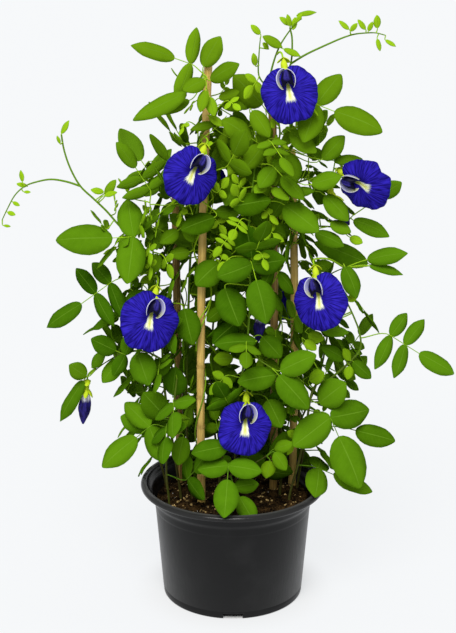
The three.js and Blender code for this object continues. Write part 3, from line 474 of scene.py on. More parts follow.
for name, cane in CANES.items():
    shape = bmesh.new()
    swept(shape, cane_stations(cane), CANE_SIDES)
    bmesh.ops.recalc_face_normals(shape, faces=shape.faces)
    near = shape.verts.layers.float.new("knuckle")
    for corner in shape.verts:
        gaps = (abs(corner.co.z - knuckle - BAND_ABOVE) for knuckle in cane["knuckles"])
        corner[near] = math.exp(-((min(gaps) / BAND_SPREAD) ** 2))
    piece = f"cane_{name}_bamboo"
    finished(shape, piece, "cane", [f"cane_{name}"], BAMBOO_OF.get(name, shaded_bamboo))

# %% [markdown]
# ## How the vine grows
# Each main stem rises from the soil, some wind round a cane, and side shoots leave them. A leaf is
# given by its heel, where its first pair of leaflets sits, by its tip, by how many leaflets it has,
# and by how slim they are. These are the points of the CAD source. A winding runs [cane, from
# height, to height, turns, first angle].

# %% The vine's own plan
VINES = {
  "left": {
    "spacing": 150,
    "stem": [[-48, -10, 78], [-48, -10, 98], [-55, -8, 150], [-62, -7, 205], [-64, -6, 260],
      [-69, -9, 305], [-74, -10, 327], [-88, -10, 341], [-100, -10, 354], [-110, -10, 366],
      [-121, -10, 377], [-132, -10, 388], [-140, -10, 403], [-145, -10, 419], [-147, -10, 433]],
    "shoots": [
      [[-132, -10, 388], [-144, -10, 392], [-157, -10, 394], [-169, -10, 392], [-180, -10, 388],
        [-189, -10, 380], [-196, -10, 368], [-201, -10, 358]],
      [[-69, -9, 305], [-70, -12, 330], [-71, -12, 352], [-72, -12, 374]],
      [[-63, -7, 228], [-78, -18, 240], [-96, -20, 240], [-112, -16, 230], [-122, -14, 222]],
    ],
    "leaves": [
      [[-86, -22, 343], [-152, -30, 341], 3, 0.54], [[-72, -12, 386], [-98, -20, 429], 5, 0.42],
      [[-112, -10, 383], [-123, -12, 385], 1, 0.5], [[-111, -8, 383], [-102, -10, 398], 1, 0.45],
      [[-111, -12, 385], [-100, -14, 389], 1, 0.4], [[-108, -14, 302], [-166, -8, 258], 5, 0.38],
      [[-77, -12, 294], [-97, -18, 277], 1, 0.6], [[-95, -30, 241], [-124, -38, 257], 3, 0.66],
      [[-134, -14, 211], [-157, -6, 167], 1, 0.28], [[-131, -16, 216], [-146, -20, 227], 1, 0.82],
      [[-126, -16, 221], [-114, -22, 237], 1, 0.52], [[-99, -26, 236], [-115, -32, 215], 1, 0.57],
      [[-84, -34, 244], [-73, -42, 217], 1, 0.74], [[-74, -16, 220], [-55, -20, 231], 1, 0.7],
      [[-73, 0, 323], [-85, 2, 305], 1, 0.6], [[-43, -22, 281], [-35, -30, 250], 1, 0.64],
      [[-66, -8, 329], [-71, -12, 312], 1, 0.7], [[-69, -4, 305], [-82, -8, 302], 1, 0.6],
      [[-147, -10, 434], [-140, -10, 445], 1, 0.42], [[-148, -10, 426], [-150, -11, 433], 1, 0.42],
      [[-181, -10, 387], [-175, -12, 387], 1, 0.4], [[-182, -10, 388], [-183, -10, 398], 1, 0.42],
      [[-191, -10, 374], [-185, -12, 371], 1, 0.5], [[-179, -9, 387], [-188, -8, 389], 1, 0.4],
      [[-196, -10, 365], [-189, -12, 363], 1, 0.5], [[-200, -10, 357], [-194, -9, 356], 1, 0.42],
    ],
  },
  "left_low": {
    "spacing": 150,
    "stem": [[-58, -26, 78], [-58, -26, 98], [-60, -30, 130], [-58, -32, 165], [-53, -28, 192],
      [-50, -20, 215]],
    "shoots": [],
    "leaves": [
      [[-74, -40, 177], [-117, -48, 142], 3, 0.54], [[-60, -34, 184], [-79, -38, 208], 1, 0.74],
      [[-40, -26, 177], [-58, -30, 173], 1, 0.82], [[-44, -34, 165], [-50, -44, 142], 1, 0.64],
      [[-54, -10, 197], [-50, -12, 224], 1, 0.8], [[-75, -22, 173], [-100, -26, 186], 1, 0.68],
    ],
  },
  "cane_left": {
    "spacing": 150,
    "stem": [[-38, -4, 78], [-38, -4, 98], [-42, 4, 150], [-42, 7, 210], [-40, 7, 270],
      [-37, 4, 330], ["front_left", 368, 486, 2.25, 140]],
    "shoots": [],
    "leaves": [
      [[-36, -14, 494], [-84, -30, 513], 3, 0.36], [[-25, -16, 492], [-12, -20, 518], 1, 0.62],
      [[-39, -26, 472], [-83, -34, 449], 1, 0.33], [[-37, -20, 464], [-66, -26, 453], 1, 0.33],
      [[-19, -20, 481], [4, -28, 497], 1, 0.5], [[-24, -32, 483], [-41, -40, 475], 1, 0.68],
      [[-12, -14, 465], [5, -18, 472], 1, 0.5], [[-10, -10, 459], [11, -14, 458], 1, 0.5],
      [[-16, -30, 365], [-44, -40, 356], 1, 0.6], [[-42, -18, 355], [-63, -26, 341], 3, 0.68],
      [[-38, -16, 331], [-55, -22, 330], 1, 0.68], [[-15, -22, 445], [-36, -30, 441], 1, 0.35],
      [[-20, -26, 448], [-8, -32, 440], 1, 0.42], [[-20, -33, 469], [-16, -40, 454], 1, 0.55],
      [[-23, -36, 479], [-28, -42, 462], 1, 0.5], [[-12, -46, 323], [-33, -54, 306], 1, 0.8],
    ],
  },
  "middle": {
    "spacing": 150,
    "stem": [[4, -18, 78], [4, -18, 98], [2, -24, 145], [5, -27, 200], [12, -31, 250],
      [15, -34, 300], [13, -33, 345], [16, -26, 385], [21, -22, 425]],
    "shoots": [[[12, -31, 250], [22, -38, 240], [34, -46, 234]]],
    "leaves": [
      [[25, -24, 426], [-9, -34, 450], 3, 0.64], [[11, -22, 407], [-8, -30, 375], 3, 0.58],
      [[0, -36, 376], [32, -42, 382], 1, 0.6], [[16, -46, 328], [30, -56, 278], 3, 0.64],
      [[16, -42, 332], [12, -46, 362], 1, 0.74], [[-7, -40, 305], [4, -50, 273], 1, 0.72],
      [[44, -30, 376], [72, -40, 354], 1, 0.64], [[20, -30, 256], [-16, -36, 257], 1, 0.46],
      [[4, -20, 268], [-19, -26, 251], 1, 0.62], [[26, -22, 255], [42, -28, 237], 1, 0.8],
      [[40, -48, 228], [65, -58, 200], 1, 0.62], [[41, -44, 231], [72, -50, 247], 1, 0.56],
      [[38, -44, 231], [4, -52, 228], 1, 0.62], [[4, -30, 207], [-19, -36, 199], 1, 0.7],
      [[31, -34, 200], [43, -42, 177], 1, 0.78], [[4, -14, 217], [-16, -18, 215], 1, 0.78],
      [[0, -24, 236], [-17, -28, 236], 1, 0.72], [[16, -30, 457], [31, -36, 436], 1, 0.58],
      [[25, -12, 457], [0, -16, 482], 1, 0.72],
    ],
  },
  "front_low": {
    "spacing": 150,
    "stem": [[-10, -42, 78], [-10, -42, 98], [-12, -42, 125], [-8, -38, 155], [2, -36, 185],
      [14, -36, 205]],
    "shoots": [[[-12, -42, 125], [0, -46, 134], [16, -44, 142], [30, -42, 150]]],
    "leaves": [
      [[-4, -62, 149], [-7, -92, 113], 3, 0.62], [[-5, -56, 169], [-36, -64, 165], 1, 0.58],
      [[37, -38, 155], [53, -44, 163], 1, 0.62], [[37, -44, 154], [48, -48, 139], 1, 0.68],
      [[33, -42, 145], [30, -46, 130], 1, 0.78],
    ],
  },
  "cane_middle": {
    "spacing": 150,
    "stem": [[44, 2, 78], [44, 2, 98], [47, 6, 140], ["centre_right", 168, 440, 3.25, 300],
      [41, 8, 453], [38, 5, 465], [42, 2, 480], [49, 0, 492], [50, 0, 512], [48, 0, 522]],
    "shoots": [
      [[42, 2, 480], [30, 0, 474], [22, 0, 482], [22, 0, 500], [23, 0, 513]],
      [[30, 0, 474], [34, 0, 492], [40, 0, 508], [51, 0, 524], [58, 0, 530]],
      [[49, 0, 492], [62, 0, 500], [79, 0, 508], [93, 0, 514], [103, 0, 517], [113, 0, 518],
        [121, 0, 518], [129, 0, 516]],
    ],
    "leaves": [
      [[45, -10, 418], [46, -18, 386], 1, 0.84], [[71, -10, 459], [127, -22, 439], 3, 0.53],
      [[77, -6, 411], [96, -10, 431], 1, 0.55], [[87, -2, 409], [112, -4, 410], 1, 0.36],
      [[42, -2, 424], [55, -8, 436], 1, 0.55], [[49, -8, 382], [71, -12, 384], 1, 0.4],
      [[80, -6, 379], [100, -14, 358], 1, 0.6], [[49, -12, 432], [71, -18, 415], 1, 0.58],
      [[68, -4, 386], [93, -8, 394], 1, 0.58], [[23, 0, 513], [15, -2, 521], 1, 0.5],
      [[19, 0, 491], [17, -3, 502], 1, 0.42], [[41, 0, 507], [25, -3, 516], 1, 0.45],
      [[30, 0, 505], [25, -3, 510], 1, 0.6], [[43, 0, 505], [57, -4, 500], 1, 0.36],
      [[54, 0, 529], [70, 0, 532], 1, 0.28], [[52, 0, 527], [58, -2, 535], 1, 0.34],
      [[51, 0, 525], [52, 2, 535], 1, 0.46], [[48, 0, 525], [39, -2, 531], 1, 0.5],
      [[48, 0, 524], [45, -3, 534], 1, 0.45], [[98, 0, 521], [89, 0, 528], 1, 0.42],
      [[99, 0, 520], [104, -2, 527], 1, 0.5], [[112, 0, 521], [105, -1, 529], 1, 0.5],
      [[114, 0, 520], [117, -1, 528], 1, 0.45], [[122, 0, 518], [121, -1, 529], 1, 0.62],
      [[122, 0, 517], [125, -1, 507], 1, 0.45], [[129, 0, 516], [138, -1, 511], 1, 0.42],
    ],
  },
  "cane_right": {
    "spacing": 105,
    "stem": [[61, 17, 78], [61, 17, 98], [67, 20, 140], ["right", 165, 396, 2.5, 320],
      [45, 29, 404], [47, 21, 411], [55, 16, 420], [62, 12, 430]],
    "shoots": [
      [[64, 27, 272], [75, 22, 288], [87, 14, 302], [99, 4, 311]],
      [[66, 30, 340], [80, 20, 345], [96, 12, 347], [106, 11, 357]],
      [[62, 28, 385], [78, 16, 392], [94, 10, 396]],
    ],
    "leaves": [
      [[129, 6, 375], [146, 0, 390], 1, 0.6], [[107, 14, 352], [139, 6, 341], 1, 0.42],
      [[122, 26, 309], [73, 22, 328], 1, 0.38], [[119, 2, 319], [153, -6, 329], 1, 0.42],
      [[121, 0, 318], [151, -2, 312], 1, 0.26], [[98, -14, 317], [110, -22, 291], 1, 0.58],
      [[109, -10, 289], [101, -12, 285], 1, 0.8], [[70, 6, 310], [88, 2, 316], 1, 0.6],
      [[72, -8, 346], [97, -16, 337], 1, 0.48], [[85, -4, 355], [103, -8, 348], 1, 0.6],
      [[103, 0, 340], [114, -4, 336], 1, 0.7],
    ],
  },
  "right": {
    "spacing": 150,
    "stem": [[52, -14, 78], [52, -14, 98], [60, -18, 135], [66, -20, 170], [72, -18, 205],
      [86, -14, 212], [98, -10, 221], [105, -8, 227], [114, -8, 239], [113, -8, 254],
      [108, -8, 268], [101, -8, 283]],
    "shoots": [],
    "leaves": [
      [[141, -6, 251], [199, -8, 214], 5, 0.45], [[100, -8, 229], [79, -12, 244], 1, 0.47],
      [[105, -10, 229], [99, -12, 241], 1, 0.6], [[105, -8, 228], [102, -12, 217], 1, 0.72],
      [[108, -8, 227], [124, -10, 211], 1, 0.6], [[68, -24, 215], [81, -28, 223], 1, 0.8],
      [[87, -30, 178], [114, -50, 118], 3, 0.62], [[111, -16, 164], [147, -18, 153], 1, 0.55],
      [[79, -18, 260], [102, -22, 258], 1, 0.45], [[67, -18, 256], [80, -22, 252], 1, 0.78],
      [[64, -26, 253], [73, -30, 245], 1, 0.72], [[77, -22, 189], [100, -30, 210], 1, 0.8],
    ],
  },
  "cane_back": {
    "spacing": 62,
    "stem": [[-46, 32, 78], [-46, 32, 98], [-45, 34, 130], ["back_left", 150, 388, 2.5, 310]],
    "shoots": [],
    "leaves": [],
  },
  "back_left": {
    "spacing": 56,
    "stem": [[-12, 40, 78], [-12, 40, 98], [-18, 46, 150], [-20, 50, 215], [-14, 50, 285],
      [-6, 44, 350], [2, 38, 405], [4, 32, 440]],
    "shoots": [],
    "leaves": [],
  },
  "back_right": {
    "spacing": 50,
    "stem": [[24, 48, 78], [24, 48, 98], [28, 54, 150], [30, 58, 220], [26, 54, 290], [24, 46, 350]],
    "shoots": [],
    "leaves": [],
  },
  "side_left": {
    "spacing": 58,
    "stem": [[-62, 13, 78], [-62, 13, 98], [-74, 21, 145], [-84, 28, 200], [-86, 28, 250],
      [-82, 24, 290]],
    "shoots": [],
    "leaves": [],
  },
  "side_right": {
    "spacing": 58,
    "stem": [[45, 45, 78], [45, 45, 98], [61, 49, 140], [80, 46, 190], [88, 40, 240], [90, 34, 285]],
    "shoots": [],
    "leaves": [],
  },
}

BLOOMS = [
  {
    "vine": "cane_middle", "centre": [47, -35, 472], "size": [50, 52],
    "face": [-0.05, -1, 0.25], "crown": [-0.2, 0.2, 1],
  },
  {
    "vine": "cane_left", "centre": [-34, -52, 406], "size": [49, 52],
    "face": [0.42, -1, 0.2], "crown": [0.7, 0.3, 1],
  },
  {
    "vine": "cane_right", "centre": [111, -22, 390], "size": [50, 50],
    "face": [-0.49, -0.83, -0.25], "crown": [-0.94, 0.48, 0.22],
  },
  {
    "vine": "left", "centre": [-71, -52, 278], "size": [54, 56],
    "face": [0.35, -1, 0.2], "crown": [0.35, 0.2, 1],
  },
  {
    "vine": "cane_right", "centre": [73, -48, 295], "size": [52, 53],
    "face": [-0.5, -1, 0.2], "crown": [-0.33, 0.2, 1],
  },
  {
    "vine": "middle", "centre": [11, -60, 183], "size": [49, 52],
    "face": [0.2, -1, 0.25], "crown": [0.12, 0.25, 1],
  },
  {
    "vine": "back_left", "centre": [-30, 78, 372], "size": [48, 51],
    "face": [-0.3, 1, 0.3], "crown": [0.1, -0.3, 1],
  },
  {
    "vine": "back_right", "centre": [44, 84, 262], "size": [48, 51],
    "face": [0.3, 1, 0.25], "crown": [-0.2, -0.3, 1],
  },
]

BUDS = [
  { "vine": "cane_right", "base": [89, 0, 375], "tip": [102, 0, 351], "radius": 5.5 },
  { "vine": "middle", "base": [25, -16, 276], "tip": [22, -16, 248], "radius": 5 },
  { "vine": "left", "base": [-132, -10, 200], "tip": [-136, -10, 168], "radius": 5.5 },
]
print("stems:", len(VINES), "set leaves:", sum(len(vine["leaves"]) for vine in VINES.values()))


# %% Lines of the stems
STEM_RADIUS = 1.25
WINDING_GAP = 1.5
LOWEST_ROOT = SOIL_LEVEL + 12


def winding(cane_name, start, end, turns, first_angle):
    """Points round a cane, from one height to another."""
    steps = math.ceil(turns * 8)
    points = []
    for i in range(steps + 1):
        z = start + (end - start) * i / steps
        angle = math.radians(first_angle + 360 * turns * i / steps)
        reach = CANE_RADIUS + STEM_RADIUS + WINDING_GAP
        side = Vector((math.cos(angle), math.sin(angle), 0))
        points.append(cane_at(CANES[cane_name], z) + side * reach)
    return points


def route_of(stem):
    """All points of a stem, its windings worked out."""
    points = []
    for entry in stem:
        points += winding(*entry) if isinstance(entry[0], str) else [Vector(entry)]
    return points


def nearest_on(routes, where):
    """The point of a vine's stems that lies nearest to a place, clear of the pot's rim."""
    best, shortest = None, math.inf
    for route in routes:
        for start, end in zip(route, route[1:]):
            point, share = intersect_point_line(where, start, end)
            point = start.lerp(end, min(max(share, 0), 1))
            distance = (point - where).length
            if point.z > LOWEST_ROOT and distance < shortest:
                best, shortest = point, distance
    return best


def routes_of(vine):
    """The main stem of a vine, then its side shoots, each rooted on what is there already."""
    routes = [route_of(vine["stem"])]
    for start, *onwards in vine["shoots"]:
        routes.append([nearest_on(routes, Vector(start)), *map(Vector, onwards)])
    return routes


ROUTES = {name: routes_of(vine) for name, vine in VINES.items()}
print("longest stem points:", max(len(route[0]) for route in ROUTES.values()))


# %% [markdown]
# ## Where a leaf's parts lie
# A butterfly pea's leaf is pinnate: a stalk, a rib, one or two pairs of leaflets, and one at the end.
# Where the rest of a leaf can't be seen, it is given its end leaflet alone. The plan below gives each
# leaflet a base, a way to grow, and a normal, with small drawn differences.

# %% Plan a leaf
RIB_SHARE = {1: 0, 3: 0.27, 5: 0.45}
LEAFLET_BOW = 0.05
LEAFLET_FOLD = 0.16
TINY_LEAFLET = 13
LARGE_LEAFLET = 37
UP = Vector((0, 0, 1))


def plan_leaf(routes, heel, tip, count, slimness, facing, seed):
    """Where a leaf's stalk, rib and leaflets lie."""
    draw = draws(seed)
    ahead = (tip - heel).normalized()
    up = (facing - ahead * facing.dot(ahead)).normalized()
    left = up.cross(ahead)
    pairs = (count - 1) // 2
    rib = (tip - heel).length * RIB_SHARE[count]
    rib_end = heel + ahead * rib
    size = (tip - rib_end).length
    widest = (rib / pairs) * (0.88 if pairs > 1 else 1.5) if pairs else 0
    leaflets = []
    for pair in range(pairs):
        for side in (1, -1):
            spread = math.radians(2 + 15 * draw())
            droop = math.radians(-6 + 24 * draw())
            length = size * (0.8 + 0.1 * draw())
            across = left * (side * math.cos(droop)) - up * math.sin(droop)
            leaflets.append({
                "base": heel + ahead * (rib * pair / pairs),
                "way": across * math.cos(spread) + ahead * math.sin(spread),
                "normal": (ahead.cross(across) * side).normalized(),
                "length": length,
                "width": min(length * (slimness + 0.06 * draw()), widest),
            })
    leaflets.append({
        "base": rib_end, "way": ahead, "normal": up,
        "length": size, "width": size * (slimness + 0.06 * draw()),
    })
    root = nearest_on(routes, heel)
    return {"root": root, "heel": heel, "rib_end": rib_end, "ahead": ahead, "size": size,
            "leaflets": leaflets}


def oval_at(along):
    """Half the width of a leaflet's outline, as a share of its half width."""
    return math.sin(math.pi * along ** 0.9) ** 0.52 if 0 < along < 1 else 0.0


def on_leaflet(leaflet, along, across):
    """A place on a leaflet: along is 0 to 1 from its base, across is -1 to 1."""
    side = leaflet["way"].cross(leaflet["normal"])
    half = leaflet["width"] / 2 * oval_at(along)
    rise = leaflet["length"] * LEAFLET_BOW * 4 * along * (1 - along)
    rise -= half * LEAFLET_FOLD * abs(across)
    spot = leaflet["base"] + leaflet["way"] * (leaflet["length"] * along)
    return spot + side * (half * across) + leaflet["normal"] * rise


print("a leaflet is widest at", max(range(100), key=lambda part: oval_at(part / 100)), "% of its length")

# %% [markdown]
# ## The same leaves as in the CAD part
# The CAD source tries a few places for each leaf and keeps the first that is clear of all else. Here
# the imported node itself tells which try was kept: it is the first whose leaflet edges lie on the
# node's surface. A search tree of the node's faces answers that quickly.

# %% Find each leaf on its node
DEPTHS = [0, -4, 4, -8, 8, -12, 12, -16, 17, 22]
LIFTS = [0, 4, -4]
FILLING_SLIMNESS = 0.62
FILLED_TO = 430
FILLED_WITHIN = 100
FIRST_FILLING = SOIL_LEVEL + 22
GOLDEN_ANGLE = 137.5
TRIES = [[0, 1], [30, 1], [-30, 1], [60, 1], [-60, 1], [0, 0.85], [30, 0.85], [-30, 0.85],
         [60, 0.85], [-60, 0.85], [95, 0.85], [-95, 0.85], [0, 0.7], [40, 0.7], [-40, 0.7], [80, 0.7],
         [-80, 0.7], [130, 0.7], [180, 0.7]]
ON_SURFACE = 0.75


def surface_of(node_name):
    """A search tree of a CAD node's faces, in millimetres."""
    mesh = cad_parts[node_name].data
    corners = [corner.co * 1000 for corner in mesh.vertices]
    return BVHTree.FromPolygons(corners, [face.vertices[:] for face in mesh.polygons])


def edge_points(leaflet):
    """The edge points that the CAD leaflet has."""
    if leaflet["length"] < TINY_LEAFLET:
        stations = [0.45]
    else:
        stations = [0.38, 0.93] if leaflet["length"] < LARGE_LEAFLET else [0.2, 0.55, 0.88]
    return [on_leaflet(leaflet, along, across) for along in stations for across in (1, -1)]


def lies_on(surface, plan):
    """Whether all leaflets of a plan have their edges on a CAD node's surface."""
    points = (point for leaflet in plan["leaflets"] for point in edge_points(leaflet))
    return all(surface.find_nearest(point)[3] < ON_SURFACE for point in points)


def set_leaf(routes, row, seed, depth, lift):
    """A listed leaf, shifted a little, and facing the front."""
    heel, tip, *form = row
    shift = Vector((0, depth, LIFTS[lift]))
    facing = Vector((heel[0] / 320, -1, 0.7)).normalized()
    return plan_leaf(routes, Vector(heel) + shift, Vector(tip) + shift, *form, facing, seed * 3 + lift)


def filling_nodes(route, first, spacing, last=FILLED_TO):
    """Places up a stem at even steps, each turned on from the last by the golden angle."""
    found, height = [], first
    for start, end in zip(route, route[1:]):
        while height < min(end.z, last):
            spot = start.lerp(end, max(0, (height - start.z) / (end.z - start.z)))
            height += spacing
            if math.hypot(spot.x, spot.y) < FILLED_WITHIN:
                found.append((spot, len(found) * GOLDEN_ANGLE))
    return found


def filling_leaf(routes, spot, turn, seed, angle, scale, smallest):
    """A leaf that springs from its place on the stem, its face turned outwards."""
    draw = draws(seed + 5000)
    count = 5 if draw() < 0.15 else 3
    size = (smallest + 8 * draw()) * scale
    stalk = (15 + 14 * draw()) * scale
    heading = math.radians(turn + angle)
    outward = Vector((math.cos(heading), math.sin(heading), 0))
    rise = 0.9 if draw() < 0.3 else -1 + 0.7 * draw()
    heel = spot + outward * stalk + UP * (stalk * 0.5)
    way = (outward * 0.7 + UP * rise).normalized()
    tip = heel + way * (size / (1 - RIB_SHARE[count]))
    facing = Vector((heel.x, heel.y, 0)).normalized() + UP * 0.5
    return plan_leaf(routes, heel, tip, count, FILLING_SLIMNESS, facing, seed * 3)


# %% Gather the leaves of every vine
LEAVES = {name: [] for name in VINES}
seed = 0
for name, vine in VINES.items():
    surface, routes = surface_of(f"vine_{name}"), ROUTES[name]
    for row in vine["leaves"]:
        seed += 1
        tries = (set_leaf(routes, row, seed, y, i) for y in DEPTHS for i in range(len(LIFTS)))
        kept = next((plan for plan in tries if lies_on(surface, plan)), None)
        if kept:
            LEAVES[name].append(kept)
set_count = sum(map(len, LEAVES.values()))
for name, routes in ROUTES.items():
    surface = surface_of(f"vine_{name}")
    for spot, turn in filling_nodes(routes[0], FIRST_FILLING, VINES[name]["spacing"]):
        seed += 1
        tries = (filling_leaf(routes, spot, turn, seed, *change, 33) for change in TRIES)
        kept = next((plan for plan in tries if lies_on(surface, plan)), None)
        if kept:
            LEAVES[name].append(kept)
print("set leaves found:", set_count, "filling leaves:", sum(map(len, LEAVES.values())) - set_count)

# %% [markdown]
# ## More leaves than the solids have
# The CAD part keeps to a modest number of leaves. On the real plant the stems carry many more small
# ones, close in, which make the middle dense and dark. They spring from the same stems by the same
# rule, only closer together, and only where there is room. A search tree of points on all leaflets
# and blooms tells how near the next neighbour is, and the canes are measured by themselves.

# %% Points that stand for what is there
BLOOM_REACH = 26
BLOOM_MARGIN = 4
BLOOM_VIEW = 120
BUD_REACH = 17
SHOWN_TO = 400
SHOWN_WIDTH = 6
FRONT_VIEW = Vector((0, -0.956, 0.295))
BACK_VIEW = Vector((0, 0.956, 0.295))


def bloom_matrix(bloom):
    """Turns a bloom's own axes (right, crown, face) into its place on the plant."""
    face = Vector(bloom["face"]).normalized()
    crown = Vector(bloom["crown"])
    crown = (crown - face * crown.dot(face)).normalized()
    turn = Matrix((crown.cross(face), crown, face)).transposed()
    return Matrix.Translation(bloom["centre"]) @ turn.to_4x4()


def leaf_points(plan):
    """Seven points for each leaflet, and one for the stalk."""
    points = []
    for leaflet in plan["leaflets"]:
        points += [on_leaflet(leaflet, along, 0) for along in (0.15, 0.5, 0.85)]
        points += [on_leaflet(leaflet, along, across) for along in (0.35, 0.7) for across in (-0.8, 0.8)]
    points.append(plan["root"].lerp(plan["heel"], 0.6))
    return points


def bloom_points(bloom):
    """Rings of points over a bloom's face."""
    points = []
    for reach in (0.0, 0.35, 0.7, 1.0):
        for step in range(12):
            angle = math.radians(30 * step)
            flat = Vector((math.cos(angle), math.sin(angle), -0.2 * reach)) * (BLOOM_REACH * reach)
            points.append(bloom_matrix(bloom) @ flat)
    return points


def bud_points(bud):
    """Four points along a closed bloom."""
    return [Vector(bud["base"]).lerp(Vector(bud["tip"]), share) for share in (0, 0.33, 0.66, 1)]


def before_bloom(point):
    """Whether a point would hide a bloom or a bud from its better side."""
    for bloom in BLOOMS:
        toward = FRONT_VIEW if bloom["face"][1] < 0 else BACK_VIEW
        offset = point - Vector(bloom["centre"])
        ahead = offset.dot(toward)
        if 0 < ahead < BLOOM_VIEW and (offset - toward * ahead).length < BLOOM_REACH + BLOOM_MARGIN:
            return True
    for bud in BUDS:
        offset = point - (Vector(bud["base"]) + Vector(bud["tip"])) / 2
        ahead = offset.dot(FRONT_VIEW)
        if 0 < ahead < BLOOM_VIEW and (offset - FRONT_VIEW * ahead).length < BUD_REACH:
            return True
    return False


def before_cane(point):
    """Whether a point would hide the front cane, which stands free before the leaves."""
    cane = CANES["front_left"]
    ahead = (cane_at(cane, point.z).y - point.y) / -FRONT_VIEW.y
    behind = point - FRONT_VIEW * ahead
    return ahead > 0 and behind.z < SHOWN_TO and abs(behind.x - cane_at(cane, behind.z).x) < SHOWN_WIDTH


taken = [point for plans in LEAVES.values() for plan in plans for point in leaf_points(plan)]
taken += [point for bloom in BLOOMS for point in bloom_points(bloom)]
taken += [point for bud in BUDS for point in bud_points(bud)]
print("points on leaves and blooms:", len(taken))

# %% Find room for more leaves
CLOSE_SPACING = 11
CLOSE_SIZE = 20
ROOM = 5.0
CANE_ROOM = 6.5
CLEAR_OF_SOIL = SOIL_LEVEL + 14
FIRST_CLOSE = CLEAR_OF_SOIL + 6
OPEN_FRONT = SOIL_LEVEL + 55
BOX_MARGIN = 3
EXTRA_SEED = 9000
YOUNG_SEED = EXTRA_SEED + 3000
YOUNG_FROM = 315
YOUNG_TO = 470
YOUNG_ROOM = 3.5
YOUNG_SPACING = 6
YOUNG_SIZE = 8


def inside_outline(point):
    """Whether a point stays within the part, a little in from its box, and clear of pot and soil."""
    low, high = (corner * 1000 for corner in solid_box)
    within = all(low[k] + BOX_MARGIN < point[k] < high[k] - BOX_MARGIN for k in range(3))
    open_below = OPEN_FRONT if point.y < 10 else CLEAR_OF_SOIL
    return within and point.z > open_below and not (before_bloom(point) or before_cane(point))


def off_canes(point):
    """Whether a point keeps its distance from every cane."""
    for cane in CANES.values():
        if point.z < cane["top"][2] + 6 and (point - cane_at(cane, point.z)).length < CANE_ROOM:
            return False
    return True


def has_room(plan, trees, room):
    """Whether a leaf fits where it is planned, with that much room to its neighbours."""
    points = leaf_points(plan)
    if not all(inside_outline(point) and off_canes(point) for point in points[:-1]):
        return False
    return all(tree.find(point)[2] > room for tree in trees for point in points[:-1])


def tree_of(points):
    """A search tree of points."""
    tree = KDTree(len(points))
    for i, point in enumerate(points):
        tree.insert(point, i)
    tree.balance()
    return tree


extra_count = 0
standing = tree_of(taken)
for name, routes in ROUTES.items():
    added = []
    for i, (spot, turn) in enumerate(filling_nodes(routes[0], FIRST_CLOSE, CLOSE_SPACING)):
        seed = EXTRA_SEED + i + 100 * list(ROUTES).index(name)
        trees = [standing] + ([tree_of(added)] if added else [])
        tries = (filling_leaf(routes, spot, turn, seed, *change, CLOSE_SIZE) for change in TRIES)
        kept = next((plan for plan in tries if has_room(plan, trees, ROOM)), None)
        if kept:
            LEAVES[name].append(kept)
            added += leaf_points(kept)
            extra_count += 1
    taken += added
    standing = tree_of(taken)
print("leaves added close in:", extra_count)

# %% Young leaves on the upper shoots
young_count = 0
for name, routes in ROUTES.items():
    added = []
    for k, route in enumerate(routes):
        places = filling_nodes(route, max(YOUNG_FROM, route[0].z + 8), YOUNG_SPACING, YOUNG_TO)
        for i, (spot, turn) in enumerate(places):
            seed = YOUNG_SEED + i + 40 * k + 400 * list(ROUTES).index(name)
            trees = [standing] + ([tree_of(added)] if added else [])
            tries = (filling_leaf(routes, spot, turn, seed, *change, YOUNG_SIZE) for change in TRIES)
            kept = next((plan for plan in tries if has_room(plan, trees, YOUNG_ROOM)), None)
            if kept:
                LEAVES[name].append(kept)
                added += leaf_points(kept)
                young_count += 1
    taken += added
    standing = tree_of(taken)
print("young leaves added above:", young_count)

# %% [markdown]
# ## Leaf blades
# A leaflet is an oval blade, folded a little along its midrib and arched along its length, with a
# slight wave at the edge. A flat grid is bent into that form, and its two narrow ends are merged to
# points. The UV map keeps how far along and across each corner lies, for the veins. A Solidify
# modifier gives the blade its thickness and a paler underside.

# %% Bend a grid into a leaflet
def blade_point(leaflet, along, across, phase):
    """A place on the fine blade: the plain leaflet, bent sideways, its tip drawn out, its edge waved."""
    slim = leaflet["width"] / leaflet["length"]
    drawn_out = 0.5 if slim < 0.45 else 0.36
    narrow = 1 - drawn_out * max(0.0, (along - 0.7) / 0.3) ** 1.6
    point = on_leaflet(leaflet, along, across * narrow)
    side = leaflet["way"].cross(leaflet["normal"])
    bend = 0.05 * math.sin(1.7 * phase) * along * along
    wave = 0.014 * math.sin(3.2 * math.pi * along + phase) * across * abs(across)
    curl = -0.04 * max(0.0, along - 0.6) ** 2 / 0.16
    fold = -0.035 * abs(across) * math.sin(math.pi * along)
    return point + (leaflet["normal"] * (wave + curl + fold) + side * bend) * leaflet["length"]


def new_blades():
    """An empty bmesh with the layers that every blade fills."""
    shape = bmesh.new()
    shape.loops.layers.uv.new("blade")
    for key in ("tone", "youth"):
        shape.verts.layers.float.new(key)
    return shape


def add_blade(shape, leaflet, phase, tone, youth):
    """Adds one leaflet's blade, with its tone and its youth for the material to read."""
    tiny = leaflet["length"] < TINY_LEAFLET
    grid = bmesh.ops.create_grid(shape, x_segments=7 if tiny else 11, y_segments=4, size=1)["verts"]
    uv = shape.loops.layers.uv["blade"]
    tones, youths = (shape.verts.layers.float[key] for key in ("tone", "youth"))
    for corner in grid:
        along = 0.5 - 0.5 * math.cos(math.pi * (corner.co.x + 1) / 2)
        across = corner.co.y
        for loop in corner.link_loops:
            loop[uv].uv = (along, across / 2 + 0.5)
        corner.co = blade_point(leaflet, along, across, phase)
        corner[tones], corner[youths] = tone, youth
    bmesh.ops.remove_doubles(shape, verts=grid, dist=0.01)


sample = new_blades()
add_blade(sample, LEAVES["left"][0]["leaflets"][0], 0.0, 0.0, 0.0)
print("faces of one blade:", len(sample.faces))
sample.free()
